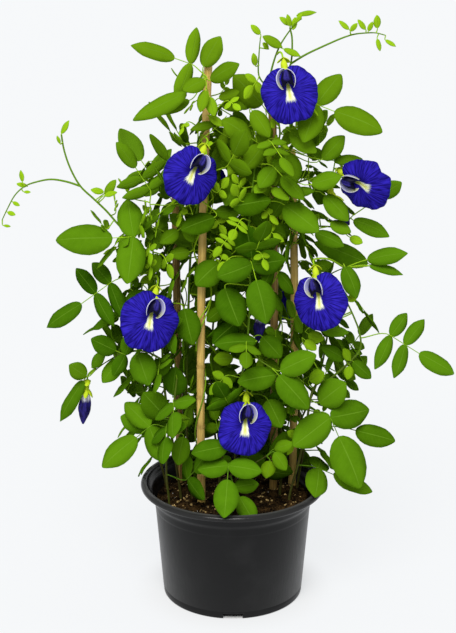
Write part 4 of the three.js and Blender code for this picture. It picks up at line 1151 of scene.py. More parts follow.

# %% [markdown]
# The top of a leaf is mid green, yellow-green while it is young, with a paler midrib and thin side
# veins that slant to the edge. It is given no gloss, because in this pale room gloss would grey it.
# The vein pattern is drawn in the blade's own UV map: it follows the leaf however it is turned. Each
# leaf has its own tone, partly drawn at random and partly painted shade.

# %% Leaf green
DEEP_GREEN = (0.011, 0.048, 0.0004)
FULL_GREEN = (0.062, 0.156, 0.0035)
YOUNG_GREEN = (0.22, 0.39, 0.008)
VEIN_GREEN = (0.13, 0.25, 0.02)
UNDERSIDE_GREEN = (0.085, 0.18, 0.006)


def leaf_green(name, roughness, paler):
    """Greens by tone and youth, with veins. A share of the underside's green may lie over it all."""
    material, tree, shader = new_finish(name, roughness, Specular_IOR_Level=0.0)
    uv = node(tree, "UVMap", {}, uv_map="blade").outputs[0]
    parts = node(tree, "SeparateXYZ", {"Vector": uv}).outputs
    along = parts[0]
    across = sums(tree, "ABSOLUTE", sums(tree, "MULTIPLY_ADD", parts[1], 2.0, -1.0))
    tone = node(tree, "Attribute", {}, attribute_name="tone").outputs["Fac"]
    youth = node(tree, "Attribute", {}, attribute_name="youth").outputs["Fac"]
    mottle = grain(tree, place(tree), 130.0, 4.0)
    mixed = sums(tree, "ADD", tone, sums(tree, "MULTIPLY_ADD", mottle, 0.5, -0.25))
    color = blend(tree, mixed, DEEP_GREEN, FULL_GREEN)
    color = blend(tree, youth, color, YOUNG_GREEN)
    slant = sums(tree, "MULTIPLY_ADD", across, -2.2, sums(tree, "MULTIPLY", along, 10.0))
    ridge = sums(tree, "ABSOLUTE", sums(tree, "ADD", sums(tree, "FRACT", slant), -0.5))
    side_vein = sums(tree, "MULTIPLY", fade(tree, ridge, 0.07, 0.0), fade(tree, across, 0.95, 0.7))
    midrib = fade(tree, across, 0.06, 0.015)
    veins = sums(tree, "MAXIMUM", sums(tree, "MULTIPLY", side_vein, 0.3), midrib)
    color = blend(tree, sums(tree, "MULTIPLY", veins, 0.42), color, VEIN_GREEN)
    if paler:
        color = blend(tree, paler, color, UNDERSIDE_GREEN)
    height = sums(tree, "MULTIPLY_ADD", mottle, 0.8, sums(tree, "MULTIPLY", veins, -1.0))
    set_inputs(shader, {"Base Color": color, "Normal": raised(tree, height, 0.0003, 0.6)})
    return material


leaf_top = leaf_green("leaf_top", 0.46, 0)
leaf_under = leaf_green("leaf_underside", 0.62, 0.7)
print("leaf materials:", leaf_top.name, leaf_under.name)

# %% [markdown]
# Small leaves and those high up are the youngest. Leaves near the middle of the plant are given a deeper
# green than those that stand out, as painted shade, and every leaf and leaflet differs a little. A bent
# grid faces the underside, so that comes first in its materials, and the top of the leaf second.

# %% Make the blades of each vine
BLADE_THICKNESS = 0.0005
BLADE_SEED = 7000
SMALL_LEAF = 21
YOUNG_ABOVE = 340
HIGH_YOUTH = 0.25
# Painted shade: leaves near the plant's middle are given a deeper green.
SHADE_WITHIN = 18
SHADE_TO = 78
SHADE_TONE = -0.37
OPEN_TONE = 0.23
TONE_SPREAD = 0.5
YOUTH_SPREAD = 0.1


def youth_of(plan):
    """Small leaves and those near the tips of shoots are young and yellow-green."""
    small = max(0.0, min(1.0, (SMALL_LEAF - plan["size"]) / 12))
    high = max(0.0, min(1.0, (plan["heel"].z - YOUNG_ABOVE) / 100))
    return min(1.0, small * 0.9 + high * HIGH_YOUTH)


def tone_of(plan):
    """Painted shade: leaves near the middle of the plant, in the shade of the others, are given a deeper
    green.
    """
    middle = plan["heel"].lerp(plan["rib_end"] + plan["ahead"] * plan["size"], 0.5)
    out = math.hypot(middle.x, middle.y)
    share = max(0.0, min(1.0, (out - SHADE_WITHIN) / (SHADE_TO - SHADE_WITHIN)))
    return SHADE_TONE + (OPEN_TONE - SHADE_TONE) * share


def make_blades(name, plans):
    """One piece with all the leaflets of a vine."""
    shape = new_blades()
    for i, plan in enumerate(plans):
        draw = draws(BLADE_SEED + i + 200 * list(VINES).index(name))
        leaf_tone = tone_of(plan) + TONE_SPREAD * draw()
        youth = youth_of(plan) + YOUTH_SPREAD * draw()
        for leaflet in plan["leaflets"]:
            add_blade(shape, leaflet, 6.28 * draw(), leaf_tone + TONE_SPREAD * draw(), youth)
    piece = finished(shape, f"leaves_{name}", "leaf", [f"vine_{name}"], leaf_under, leaf_top)
    thickened(piece, BLADE_THICKNESS, 1)


for name, plans in LEAVES.items():
    make_blades(name, plans)

# %% [markdown]
# ## Stems, stalks and ribs
# The stems are round and wiry. Curves with a round bevel suit them: each line has a radius of its own
# at every point, thinner towards the tip. A curve that passes through the CAD stem's points keeps
# the fine stem on the plain one. At the end each curve becomes a mesh, at the origin.

# %% Smooth lines
def through(points, steps):
    """Points on a smooth curve through the given ones, a few for each span."""
    line = []
    last = len(points) - 1
    for i in range(last):
        before, after = points[max(i - 1, 0)], points[min(i + 2, last)]
        start, end = points[i], points[i + 1]
        leave, arrive = (end - before) / 2, (after - start) / 2
        for step in range(steps):
            t = step / steps
            line.append(
                start * (2 * t ** 3 - 3 * t ** 2 + 1) + leave * (t ** 3 - 2 * t ** 2 + t)
                + end * (3 * t ** 2 - 2 * t ** 3) + arrive * (t ** 3 - t ** 2)
            )
    return line + [points[last]]


def arched(start, first_pull, second_pull, end, steps):
    """Points on a Bezier curve."""
    line = []
    for step in range(steps + 1):
        t = step / steps
        line.append(
            start * (1 - t) ** 3 + first_pull * 3 * t * (1 - t) ** 2
            + second_pull * 3 * t ** 2 * (1 - t) + end * t ** 3
        )
    return line


def stalk_line(plan):
    """From the stem to the heel in one arch, then straight along the rib."""
    root, heel = plan["root"], plan["heel"]
    reach = (heel - root).length
    outward = (heel - root).normalized()
    pull = reach * 0.35
    line = arched(root, root + outward * pull, heel - plan["ahead"] * pull, heel, 7)
    return line + [plan["rib_end"] + plan["ahead"] * 1.2]


longest = max((routes[0] for routes in ROUTES.values()), key=len)
print("the longest stem has", len(longest), "points, and its smooth line", len(through(longest, 5)))

# %% Bevelled strands
def strands(name, lines, steps_round):
    """A mesh of round strands from (points, first radius, last radius) lines, in millimetres."""
    curve = bpy.data.curves.new(name, "CURVE")
    curve.dimensions = "3D"
    curve.bevel_depth = 0.001
    curve.bevel_resolution = steps_round
    curve.use_fill_caps = True
    for points, first, last in lines:
        spline = curve.splines.new("POLY")
        spline.points.add(len(points) - 1)
        for i, (spot, point) in enumerate(zip(spline.points, points)):
            spot.co = (*(point * 0.001), 1)
            spot.radius = first + (last - first) * i / (len(points) - 1)
    holder = bpy.data.objects.new(name, curve)
    bpy.context.scene.collection.objects.link(holder)
    bpy.context.view_layer.update()
    shown = holder.evaluated_get(bpy.context.evaluated_depsgraph_get())
    mesh = bpy.data.meshes.new_from_object(shown)
    bpy.data.objects.remove(holder)
    mesh.shade_smooth()
    return mesh


def strand_piece(name, node_name, lines, steps_round, material):
    """Makes strands a piece of a vine, in one material."""
    mesh = strands(name, lines, steps_round)
    mesh.materials.clear()
    mesh.materials.append(material)
    piece = bpy.data.objects.new(name, mesh)
    bpy.context.scene.collection.objects.link(piece)
    print(f"{name}: {len(mesh.polygons)} faces")
    return settle(piece, [node_name])


# %% [markdown]
# Old stems near the soil turn brownish and dull. Higher up they are green, and the leaf stalks are a
# fresh pale green. Height above the soil drives the first change.

# %% Stem green
STEM_BROWN, STEM_GREEN = (0.055, 0.055, 0.012), (0.10, 0.21, 0.008)
STALK_DULL, STALK_FRESH = (0.07, 0.16, 0.008), (0.25, 0.43, 0.012)


def stem_green(name, low_color, high_color, roughness):
    """One colour near the soil that gives way to the other higher up, with fine streaks."""
    material, tree, shader = new_finish(name, roughness, Specular_IOR_Level=0.03)
    where = place(tree)
    height = node(tree, "SeparateXYZ", {"Vector": where}).outputs[2]
    streak = grain(tree, stretched(tree, where, (1, 1, 0.12)), 260.0, 3.0)
    uneven = sums(tree, "MULTIPLY_ADD", streak, 0.8, -0.4)
    rise = sums(tree, "ADD", fade(tree, height, 0.1, 0.36), uneven)
    color = blend(tree, rise, low_color, high_color)
    set_inputs(shader, {"Base Color": color, "Normal": raised(tree, streak, 0.0002, 0.5)})
    return material


main_stem = stem_green("stem_green", STEM_BROWN, STEM_GREEN, 0.5)
fresh_stalk = stem_green("stalk_green", STALK_DULL, STALK_FRESH, 0.48)
print("stem materials:", main_stem.name, fresh_stalk.name)

# %% Grow the stems
STEM_RADII = (1.2, 0.75)
SHOOT_RADII = (0.95, 0.45)
STALK_RADII = (0.62, 0.4)

for name, routes in ROUTES.items():
    stem, *shoots = routes
    lines = [(through(stem, 5), *STEM_RADII)]
    lines += [(through(shoot, 5), *SHOOT_RADII) for shoot in shoots]
    strand_piece(f"stems_{name}", f"vine_{name}", lines, 3, main_stem)
    stalks = [(stalk_line(plan), *STALK_RADII) for plan in LEAVES[name]]
    strand_piece(f"stalks_{name}", f"vine_{name}", stalks, 1, fresh_stalk)
print("vines with stems and stalks:", len(ROUTES))

# %% [markdown]
# Thin young stems also wind up the canes without leaves of their own, each to a loose curled tip.

# %% Twiners
TWINERS = [
    ["cane_left", "front_left", 120, 395, 3.2, 40],
    ["cane_left", "front_left", 240, 450, 2.4, 200],
    ["cane_middle", "centre_right", 110, 380, 3.4, 130],
    ["cane_middle", "centre_right", 210, 430, 2.6, 300],
    ["cane_right", "right", 115, 350, 2.8, 80],
    ["cane_back", "back_left", 105, 330, 2.7, 20],
]
TWINER_REACH = 6.5
TWINER_RADII = (0.75, 0.4)


def twiner_line(cane_name, start, end, turns, first_angle):
    """A loose winding that widens and narrows, and leans out at its tip."""
    steps = math.ceil(turns * 10)
    points = []
    for i in range(steps + 1):
        share = i / steps
        z = start + (end - start) * share
        angle = math.radians(first_angle + 360 * turns * share ** 1.15)
        reach = TWINER_REACH + 2.5 * math.sin(9 * share + first_angle) + 9 * max(0, share - 0.85) / 0.15
        side = Vector((math.cos(angle), math.sin(angle), 0))
        points.append(cane_at(CANES[cane_name], z) + side * reach)
    return through(points, 3)


for i, (vine, cane_name, *turning) in enumerate(TWINERS):
    line = twiner_line(cane_name, *turning)
    strand_piece(f"twiner_{i + 1}", f"vine_{vine}", [(line, *TWINER_RADII)], 2, fresh_stalk)
print("twiners:", len(TWINERS))

# %% [markdown]
# ## Open blooms
# The bloom is upside down for a pea flower: its great banner petal lies lowest and spreads like a
# shell, with pleats that run out from the throat, a cleft at the crown, and a frilled edge. A polar
# grid, merged at its middle and its seam, is bent to the CAD banner's own formula, with finer pleats
# and frills on top.

# %% The banner's form
RUFFLES = 7
THROAT_HEIGHT = 5
THROAT_DEPTH = 4.5
BANNER_BOW = 5
RAYS_FROM = 3
PETAL_MAP = 60


def plain_banner(size, reach, angle):
    """The CAD banner: a place in the bloom's own axes."""
    low, high = max(0, -math.sin(angle)), max(0, math.sin(angle))
    notch = 1 - 0.06 * low ** 24 - 0.13 * high ** 16
    x = size[0] / 2 * reach * notch * math.cos(angle)
    y = size[1] / 2 * reach * notch * math.sin(angle)
    throat = THROAT_DEPTH * math.exp(-(x * x + (y - THROAT_HEIGHT) ** 2) / 45)
    ruffle = 1.3 * reach ** 3 * math.sin(RUFFLES * angle)
    return Vector((x, y, ruffle - BANNER_BOW * reach * reach - throat))


def fine_banner(size, reach, angle, phase):
    """The same with a lobed and frilled outline, radial pleats and a sharper cleft."""
    cleft = 1 - 0.04 * math.exp(-(((angle - math.pi / 2) / 0.11) ** 2))
    round_way = Vector((math.cos(angle), math.sin(angle), 0))
    lobes = 0.022 * math.sin(5 * angle + 1.9 * phase) - 0.02
    lobes += 0.05 * noise.noise(round_way * 2.4 + Vector((0, 0, phase)))
    frill = lobes + 0.006 * math.sin(25 * angle + 2 * phase)
    point = plain_banner(size, reach, angle) * (cleft * (1 + frill * reach ** 3))
    point.x *= 0.96
    out = math.atan2(point.y - RAYS_FROM, point.x)
    near = math.hypot(point.x, point.y - RAYS_FROM)
    wander = 1.3 * noise.noise((3 * math.cos(out), 3 * math.sin(out), phase + near * 0.03))
    pleat = math.sin(31 * out + 4 * wander) * min(1, near / 14)
    wave = math.sin(9 * angle + 1.7 * phase) * reach ** 4
    point.z += 0.22 * pleat + 0.9 * wave - 0.8 * reach ** 12
    return point


def banner_shape(size, phase):
    """A banner in the bloom's own axes, with its UV map and how near each corner is to the rim."""
    shape = bmesh.new()
    uv = shape.loops.layers.uv.new("petal")
    rim = shape.verts.layers.float.new("rim")
    bmesh.ops.create_grid(shape, x_segments=160, y_segments=26, size=1)
    for corner in shape.verts:
        reach, angle = ((corner.co.y + 1) / 2) ** 0.8, math.pi * (corner.co.x + 1)
        point = fine_banner(size, reach, angle, phase)
        for loop in corner.link_loops:
            loop[uv].uv = (point.x / PETAL_MAP + 0.5, point.y / PETAL_MAP + 0.5)
        corner.co = point
        corner[rim] = reach
    bmesh.ops.remove_doubles(shape, verts=shape.verts, dist=0.01)
    bmesh.ops.reverse_faces(shape, faces=shape.faces)
    return shape


throat = plain_banner((50, 50), 0.2, math.pi / 2)
print("a throat, 5 mm above the middle, lies", round(-throat.z, 1), "mm deep")

# %% [markdown]
# The heart of the bloom is a dark hooded keel in the throat. It is a squashed sphere, drawn to a point
# at the crown, creased down its middle, and ended below in two small horns. A pale wing stands on the
# banner at either side of it like a low curved wall that leans outwards. Both walls open below, where
# the pale tongue starts.

# %% Hood and wings
WING_PATH = ((0.3, 20.6), (2.3, 19.8), (4.7, 17.4), (6.2, 13.8), (6.3, 10.2), (5.4, 7.0), (4.2, 4.6))
WING_CENTRE = 10.7
WING_HEIGHT = 4.2
WING_LEAN = 0.7
OPEN_LEAN = 2.6


def hood_shape():
    """The hooded keel, with how dark each corner is."""
    shape = bmesh.new()
    bmesh.ops.create_uvsphere(shape, u_segments=40, v_segments=24, radius=1)
    shade = shape.verts.layers.float.new("shade")
    for corner in shape.verts:
        x, y, z = corner.co
        down = max(0, -y)
        wide = x * (1 - 0.5 * max(0, y) ** 1.5 + 1.8 * down ** 4)
        hollow = 1 - 0.5 * max(0, 1 - 1.2 * abs(wide)) ** 1.5 * down
        horn = 0.3 * max(0, abs(wide) - 0.5) * down
        crease = 1.1 * math.exp(-((x / 0.13) ** 2)) * max(0, z)
        deep = z * (1 - 0.5 * down ** 3)
        corner.co = (4.9 * wide, 13.4 + 7.0 * (y * hollow - horn), 4.2 * deep - crease)
        corner[shade] = 1.1 * max(0, abs(x) - 0.15) + 1.2 * down ** 2
    return shape


def banner_height(size, x, y):
    """How high the banner lies there, in the bloom's own axes."""
    reach = math.hypot(2 * x / size[0], 2 * y / size[1])
    throat = THROAT_DEPTH * math.exp(-(x * x + (y - THROAT_HEIGHT) ** 2) / 45)
    return -BANNER_BOW * reach * reach - throat


def wing_shape(size, open_side):
    """Two pale walls beside the hood, from the crown down. The one on the open side leans out more."""
    line = through([Vector((x, y, 0)) for x, y in WING_PATH], 4)
    shape = bmesh.new()
    rim, down = (shape.verts.layers.float.new(key) for key in ("rim", "down"))
    for side in (1, -1):
        wall = bmesh.ops.create_grid(shape, x_segments=len(line) - 1, y_segments=8, size=1)["verts"]
        for corner in wall:
            step = round((corner.co.x + 1) / 2 * (len(line) - 1))
            share, up = step / (len(line) - 1), (corner.co.y + 1) / 2
            foot = line[step]
            height = WING_HEIGHT * math.sin(math.pi * (0.06 + 0.9 * share ** 0.8)) ** 0.6
            lean = OPEN_LEAN if side == open_side else WING_LEAN
            lean *= up ** 1.6 * math.sin(math.pi * share) ** 0.5
            outward = Vector((foot.x, (foot.y - WING_CENTRE) * 0.6, 0)).normalized()
            spot = foot + outward * lean
            base = banner_height(size, foot.x, foot.y) - 0.3
            corner.co = (side * spot.x, spot.y, base + height * up)
            corner[rim], corner[down] = up, share
    return shape


print("height of a wing and lean of the one on the open side, in mm:", WING_HEIGHT, OPEN_LEAN)

# %% [markdown]
# The petal is a deep violet-blue, like velvet: rough, with hardly any gloss. Fine darker lines run out
# along the pleats, and the rim is darker. Below the hood lies a pale tongue, greenish-yellow where it
# starts and white at its end, which breaks into teeth. All of it is drawn round the throat in the
# petal's UV map, where one unit is 60 mm.

# %% Petal blue
PETAL_BLUE = (0.021, 0.0125, 0.32)
PETAL_DEEP = (0.006, 0.003, 0.115)
TONGUE_WHITE = (0.78, 0.80, 0.68)
TONGUE_YELLOW = (0.60, 0.62, 0.17)
TONGUE_OLIVE = (0.20, 0.23, 0.03)
TONGUE_START = 7.5
TONGUE_END = -7.4
HOOD_BLUE, HOOD_BLACK = (0.022, 0.016, 0.16), (0.0012, 0.001, 0.012)
WING_WHITE, WING_LILAC = (0.50, 0.50, 0.62), (0.25, 0.25, 0.43)
WING_OLIVE, WING_FOOT = (0.34, 0.36, 0.17), (0.05, 0.035, 0.36)


def petal_blue(name, tongue):
    """Streaked blue, darker at the rim and the throat, with the pale tongue where it is asked for."""
    material, tree, shader = new_finish(name, 0.62, Specular_IOR_Level=0.03)
    uv = node(tree, "UVMap", {}, uv_map="petal").outputs[0]
    parts = node(tree, "SeparateXYZ", {"Vector": uv}).outputs
    x = sums(tree, "MULTIPLY_ADD", parts[0], PETAL_MAP, -PETAL_MAP / 2)
    y = sums(tree, "MULTIPLY_ADD", parts[1], PETAL_MAP, -PETAL_MAP / 2)
    rise = sums(tree, "ADD", y, -RAYS_FROM)
    out = sums(tree, "ARCTAN2", rise, x)
    square = sums(tree, "MULTIPLY_ADD", x, x, sums(tree, "MULTIPLY", rise, rise))
    near = sums(tree, "SQRT", square)
    inputs = {0: sums(tree, "MULTIPLY", out, 9.0), 1: sums(tree, "MULTIPLY", near, 0.06)}
    streak = grain(tree, node(tree, "CombineXYZ", inputs).outputs[0], 1.7, 5.0)
    color = blend(tree, fade(tree, streak, 0.36, 0.62), PETAL_DEEP, PETAL_BLUE)
    rim = node(tree, "Attribute", {}, attribute_name="rim").outputs["Fac"]
    darker = sums(tree, "MAXIMUM", fade(tree, rim, 0.93, 1.0), fade(tree, near, 11.0, 4.0))
    color = blend(tree, sums(tree, "MULTIPLY", darker, 0.55), color, PETAL_DEEP)
    if tongue:
        wide = sums(tree, "MULTIPLY_ADD", y, -0.2, 3.0)
        side = sums(tree, "ABSOLUTE", sums(tree, "DIVIDE", x, wide))
        ragged = sums(tree, "MULTIPLY_ADD", streak, 0.9, side)
        inputs = {0: sums(tree, "MULTIPLY", out, 30.0), 1: sums(tree, "MULTIPLY", near, 0.05)}
        fine_streak = grain(tree, node(tree, "CombineXYZ", inputs).outputs[0], 1.5, 3.0)
        teeth = sums(tree, "MULTIPLY_ADD", fine_streak, 9.0, sums(tree, "MULTIPLY", y, -1.0))
        end = 4.5 - TONGUE_END
        flat = sums(tree, "MULTIPLY", fade(tree, ragged, 1.6, 1.2), fade(tree, teeth, end, end - 2.4))
        patch = sums(tree, "MULTIPLY", flat, fade(tree, y, TONGUE_START + 3, TONGUE_START))
        warm = sums(tree, "MULTIPLY", fade(tree, side, 0.8, 0.1), fade(tree, y, -9.0, -1.5))
        tint = blend(tree, warm, TONGUE_WHITE, TONGUE_YELLOW)
        tint = blend(tree, fade(tree, y, 0.5, 7.0), tint, TONGUE_OLIVE)
        lined = sums(tree, "MULTIPLY", fade(tree, fine_streak, 0.55, 0.4), 0.35)
        color = blend(tree, patch, color, blend(tree, lined, tint, TONGUE_OLIVE))
    set_inputs(shader, {"Base Color": color, "Normal": raised(tree, streak, 0.0006, 0.7)})
    return material


def hood_navy():
    """Blue along the crease, nearly black at the flanks and the horns."""
    material, tree, shader = new_finish("hood_navy", 0.5, Specular_IOR_Level=0.08)
    shade = node(tree, "Attribute", {}, attribute_name="shade").outputs["Fac"]
    streak = grain(tree, place(tree), 500.0, 3.0)
    mixed = sums(tree, "MULTIPLY_ADD", streak, 0.8, sums(tree, "ADD", shade, -0.4))
    color = blend(tree, fade(tree, mixed, 0.0, 0.6), HOOD_BLUE, HOOD_BLACK)
    set_inputs(shader, {"Base Color": color, "Normal": raised(tree, streak, 0.0003, 0.5)})
    return material


def wing_pale():
    """White at the rim, lilac below it, olive towards the tongue, and blue at its foot."""
    material, tree, shader = new_finish("wing_pale", 0.55, Specular_IOR_Level=0.05)
    rim = node(tree, "Attribute", {}, attribute_name="rim").outputs["Fac"]
    down = node(tree, "Attribute", {}, attribute_name="down").outputs["Fac"]
    inner = blend(tree, fade(tree, down, 0.45, 0.85), WING_LILAC, WING_OLIVE)
    low = blend(tree, fade(tree, rim, 0.0, 0.35), WING_FOOT, inner)
    color = blend(tree, fade(tree, rim, 0.86, 1.0), low, WING_WHITE)
    set_inputs(shader, {"Base Color": color})
    return material


banner_front = petal_blue("banner_blue", True)
banner_back = petal_blue("banner_back", False)
hood_material, wing_material = hood_navy(), wing_pale()
print("bloom materials:", banner_front.name, banner_back.name, hood_material.name, wing_material.name)

# %% Make the open blooms
PETAL_THICKNESS = 0.0005
for i, bloom in enumerate(BLOOMS):
    spot = bloom_matrix(bloom)
    nodes = [f"bloom_{i + 1}"]
    banner = banner_shape(bloom["size"], phase=2.1 * i)
    banner.transform(spot)
    piece = finished(banner, f"banner_{i + 1}", "petal", nodes, banner_front, banner_back)
    thickened(piece, PETAL_THICKNESS, 1)
    wings = wing_shape(bloom["size"], 1 if bloom["face"][0] > 0 else -1)
    wings.transform(spot)
    thickened(finished(wings, f"wings_{i + 1}", "petal", nodes, wing_material), PETAL_THICKNESS)
    hood = hood_shape()
    hood.transform(spot)
    finished(hood, f"hood_{i + 1}", "petal", nodes, hood_material)

# %% [markdown]
# ## Green cups and flower stalks
# Behind each bloom is a green cup, the calyx: a short tube that opens into five pointed lobes, with
# two small round bracts at its foot. Lobes and bracts are leaflets of a kind, so the leaf blade's
# own helper shapes them. The stalk runs back to the stem along the CAD stalk's line.

# %% Cups
CLAW_END = Vector((0, 21, -9.5))
CUP_END = Vector((0, 31, -13))
CUP_LENGTH = 10
CUP_OUTLINE = ((0, 0.7), (0.12, 1.0), (0.55, 0.95), (1, 0.4))
OPEN_CUP = 3.0
CLOSED_CUP = 2.3
CUP_STALK_RADII = (0.8, 0.9)
CUP_LOW, CUP_HIGH = (0.34, 0.46, 0.012), (0.43, 0.54, 0.02)
LOBES = 5
LOBE = {"length": 8.5, "width": 4.6}
BRACT = {"length": 7.5, "width": 6.2}


def around(way):
    """Two directions square to a third."""
    side = way.cross(UP if abs(way.z) < 0.9 else Vector((1, 0, 0))).normalized()
    return side, way.cross(side)


def cup_lobes(mouth, foot, width):
    """Five lobes at the mouth and two bracts at the foot."""
    way = (mouth - foot).normalized()
    side, other = around(way)
    lobes = []
    for i in range(LOBES):
        angle = 2 * math.pi * i / LOBES
        outward = side * math.cos(angle) + other * math.sin(angle)
        grow = (way + outward * 0.7).normalized()
        normal = (outward - grow * outward.dot(grow)).normalized()
        base = mouth + outward * (width * 0.8) - way * 2
        lobes.append({"base": base, "way": grow, "normal": normal, **LOBE})
    for turn in (1, -1):
        grow = (way * 0.6 + side * turn * 0.8).normalized()
        normal = (side * turn - grow * grow.dot(side * turn)).normalized()
        lobes.append({"base": foot - way, "way": grow, "normal": normal, **BRACT})
    return lobes


def cup_stalk(mouth, foot, routes):
    """The line from the cup's foot back to the stem."""
    way = (foot - mouth).normalized()
    root = nearest_on(routes, foot)
    reach = (root - foot).length
    bend = foot + way * min(6, reach * 0.3)
    middle = (bend + root) * 0.5 + UP * min(4, reach * 0.1)
    return through([foot - way * 2, bend, middle, root], 6)


def make_cup(name, vine, mouth, foot, width):
    """A cup from its mouth to its foot, on the vine that bears it."""
    nodes = [f"vine_{vine}"]
    shape = new_blades()
    for leaflet in cup_lobes(mouth, foot, width):
        add_blade(shape, leaflet, 0.0, 0.6, 1.0)
    thickened(finished(shape, f"cup_lobes_{name}", "leaf", nodes, cup_green), BLADE_THICKNESS)
    body = bmesh.new()
    swept(body, [(mouth.lerp(foot, share), width * size) for share, size in CUP_OUTLINE], 16)
    bmesh.ops.recalc_face_normals(body, faces=body.faces)
    finished(body, f"cup_{name}", "leaf", nodes, cup_green)
    line = (cup_stalk(mouth, foot, ROUTES[vine]), *CUP_STALK_RADII)
    strand_piece(f"cup_stalk_{name}", nodes[0], [line], 2, fresh_stalk)


cup_green = stem_green("cup_green", CUP_LOW, CUP_HIGH, 0.5)
for i, bloom in enumerate(BLOOMS):
    spot = bloom_matrix(bloom)
    make_cup(f"{i + 1}", bloom["vine"], spot @ CLAW_END, spot @ CUP_END, OPEN_CUP)

# %% [markdown]
# ## Closed blooms
# A bud, or a bloom that is over, is a rolled spindle: the banner wound round the rest, with twisted
# folds. A swept bar of many sides gets its folds from a sine round it, turned on along its length.
# An attribute holds how far along each corner is, for its colours: green at the cup, then pale lilac,
# then navy.

# %% Rolled petals
ROLLED_DARK, ROLLED_NAVY = (0.004, 0.003, 0.035), (0.016, 0.011, 0.13)
ROLLED_GREEN, ROLLED_LILAC = (0.28, 0.42, 0.05), (0.55, 0.55, 0.62)


def rolled_shape(length, radius):
    """A spindle along +Z, twisted and folded."""
    outline = ((0, 0.42), (0.1, 0.6), (0.25, 0.8), (0.4, 0.95), (0.55, 1.0), (0.7, 0.85), (0.85, 0.55),
               (0.95, 0.3), (1, 0.12))
    line = through([Vector((size * radius, 0, share * length)) for share, size in outline], 4)
    shape = bmesh.new()
    swept(shape, [(Vector((0, 0, point.z)), point.x) for point in line], 48)
    along = shape.verts.layers.float.new("along")
    for corner in shape.verts:
        share = corner.co.z / length
        angle = math.atan2(corner.co.y, corner.co.x)
        fold = 1 + 0.16 * math.sin(4 * angle + 5 * share) + 0.06 * math.sin(11 * angle - 6 * share)
        corner.co.x *= fold * 0.9
        corner.co.y *= fold * 0.9
        corner[along] = share
    bmesh.ops.recalc_face_normals(shape, faces=shape.faces)
    return shape


def rolled_petal():
    """Green, lilac and navy one after the other along the spindle, with streaks."""
    material, tree, shader = new_finish("rolled_navy", 0.6, Specular_IOR_Level=0.1)
    along = node(tree, "Attribute", {}, attribute_name="along").outputs["Fac"]
    streak = grain(tree, stretched(tree, place(tree), (1, 1, 0.3)), 420.0, 4.0)
    navy = blend(tree, fade(tree, streak, 0.35, 0.65), ROLLED_DARK, ROLLED_NAVY)
    shifted = sums(tree, "MULTIPLY_ADD", streak, 0.24, sums(tree, "ADD", along, -0.12))
    pale = blend(tree, fade(tree, shifted, 0.05, 0.16), ROLLED_GREEN, ROLLED_LILAC)
    color = blend(tree, fade(tree, shifted, 0.14, 0.34), pale, navy)
    set_inputs(shader, {"Base Color": color, "Normal": raised(tree, streak, 0.0004, 0.6)})
    return material


rolled_navy = rolled_petal()
for i, bud in enumerate(BUDS):
    base, tip = Vector(bud["base"]), Vector(bud["tip"])
    length = (tip - base).length
    rolled = rolled_shape(length, bud["radius"])
    turn = UP.rotation_difference((tip - base).normalized()).to_matrix().to_4x4()
    rolled.transform(Matrix.Translation(base) @ turn)
    finished(rolled, f"rolled_{i + 1}", "bud", [f"closed_bloom_{i + 1}"], rolled_navy)
    foot = base + (base - tip).normalized() * CUP_LENGTH
    make_cup(f"closed_{i + 1}", bud["vine"], base, foot, CLOSED_CUP)

# %% [markdown]
# ## Soil
# Potting mix: dark peat with bark crumbs and a few white specks of perlite. The bed is a disc with a
# bumpy top that sinks towards the pot's wall, closed below. About nine hundred crumbs lie half sunk
# in it, each a small icosphere squashed and turned by drawn numbers.

# %% The bed
def soil_bump(x, y):
    """The CAD soil's own slow bumps."""
    slow = 1.5 * math.sin(0.19 * x + 1.3) * math.sin(0.23 * y + 0.4)
    return slow + 0.9 * math.sin(0.41 * x - 0.37 * y)


def soil_top(x, y):
    """The height of the bed, with finer bumps of its own."""
    fine = 0.9 * noise.noise((x * 0.16, y * 0.16, 4.0)) + 0.7 * noise.noise((x * 0.5, y * 0.5, 9.0))
    return SOIL_LEVEL - 0.3 + 0.8 * soil_bump(x, y) + fine


def sunk_edge(reach):
    """How far the soil has sunk at that distance from the middle."""
    share = max(0.0, reach - 62) / 8
    return 1.5 * share * share


SOIL_RADIUS = 69.9
SOIL_DEPTH = 40
shape = bmesh.new()
bmesh.ops.create_grid(shape, x_segments=96, y_segments=96, size=1)
for corner in shape.verts:
    x, y = corner.co.x, corner.co.y
    x, y = x * math.sqrt(1 - y * y / 2) * SOIL_RADIUS, y * math.sqrt(1 - x * x / 2) * SOIL_RADIUS
    corner.co = (x, y, soil_top(x, y) - sunk_edge(math.hypot(x, y)))
rim = [edge for edge in shape.edges if edge.is_boundary]
wall = bmesh.ops.extrude_edge_only(shape, edges=rim)["geom"]
low_corners = [part for part in wall if isinstance(part, bmesh.types.BMVert)]
low_edges = [part for part in wall if isinstance(part, bmesh.types.BMEdge) and part.is_boundary]
for corner in low_corners:
    corner.co = (corner.co.x * 0.94, corner.co.y * 0.94, SOIL_LEVEL - SOIL_DEPTH)
bmesh.ops.holes_fill(shape, edges=low_edges, sides=0)
bmesh.ops.recalc_face_normals(shape, faces=shape.faces)
print("soil bed faces:", len(shape.faces))


# %% [markdown]
# Moist peat is nearly black, with warmer brown where it is dry and loose. Two noises of different size
# mix the browns, and the bump is strong, because the surface is all crumbs.

# %% Potting mix
PEAT_BLACK, PEAT_BROWN = (0.0025, 0.0013, 0.0005), (0.06, 0.033, 0.011)
BARK_BROWN, BARK_TAN = (0.03, 0.015, 0.005), (0.66, 0.46, 0.18)
PERLITE_GREY, PERLITE_WHITE = (0.42, 0.40, 0.36), (0.72, 0.70, 0.66)


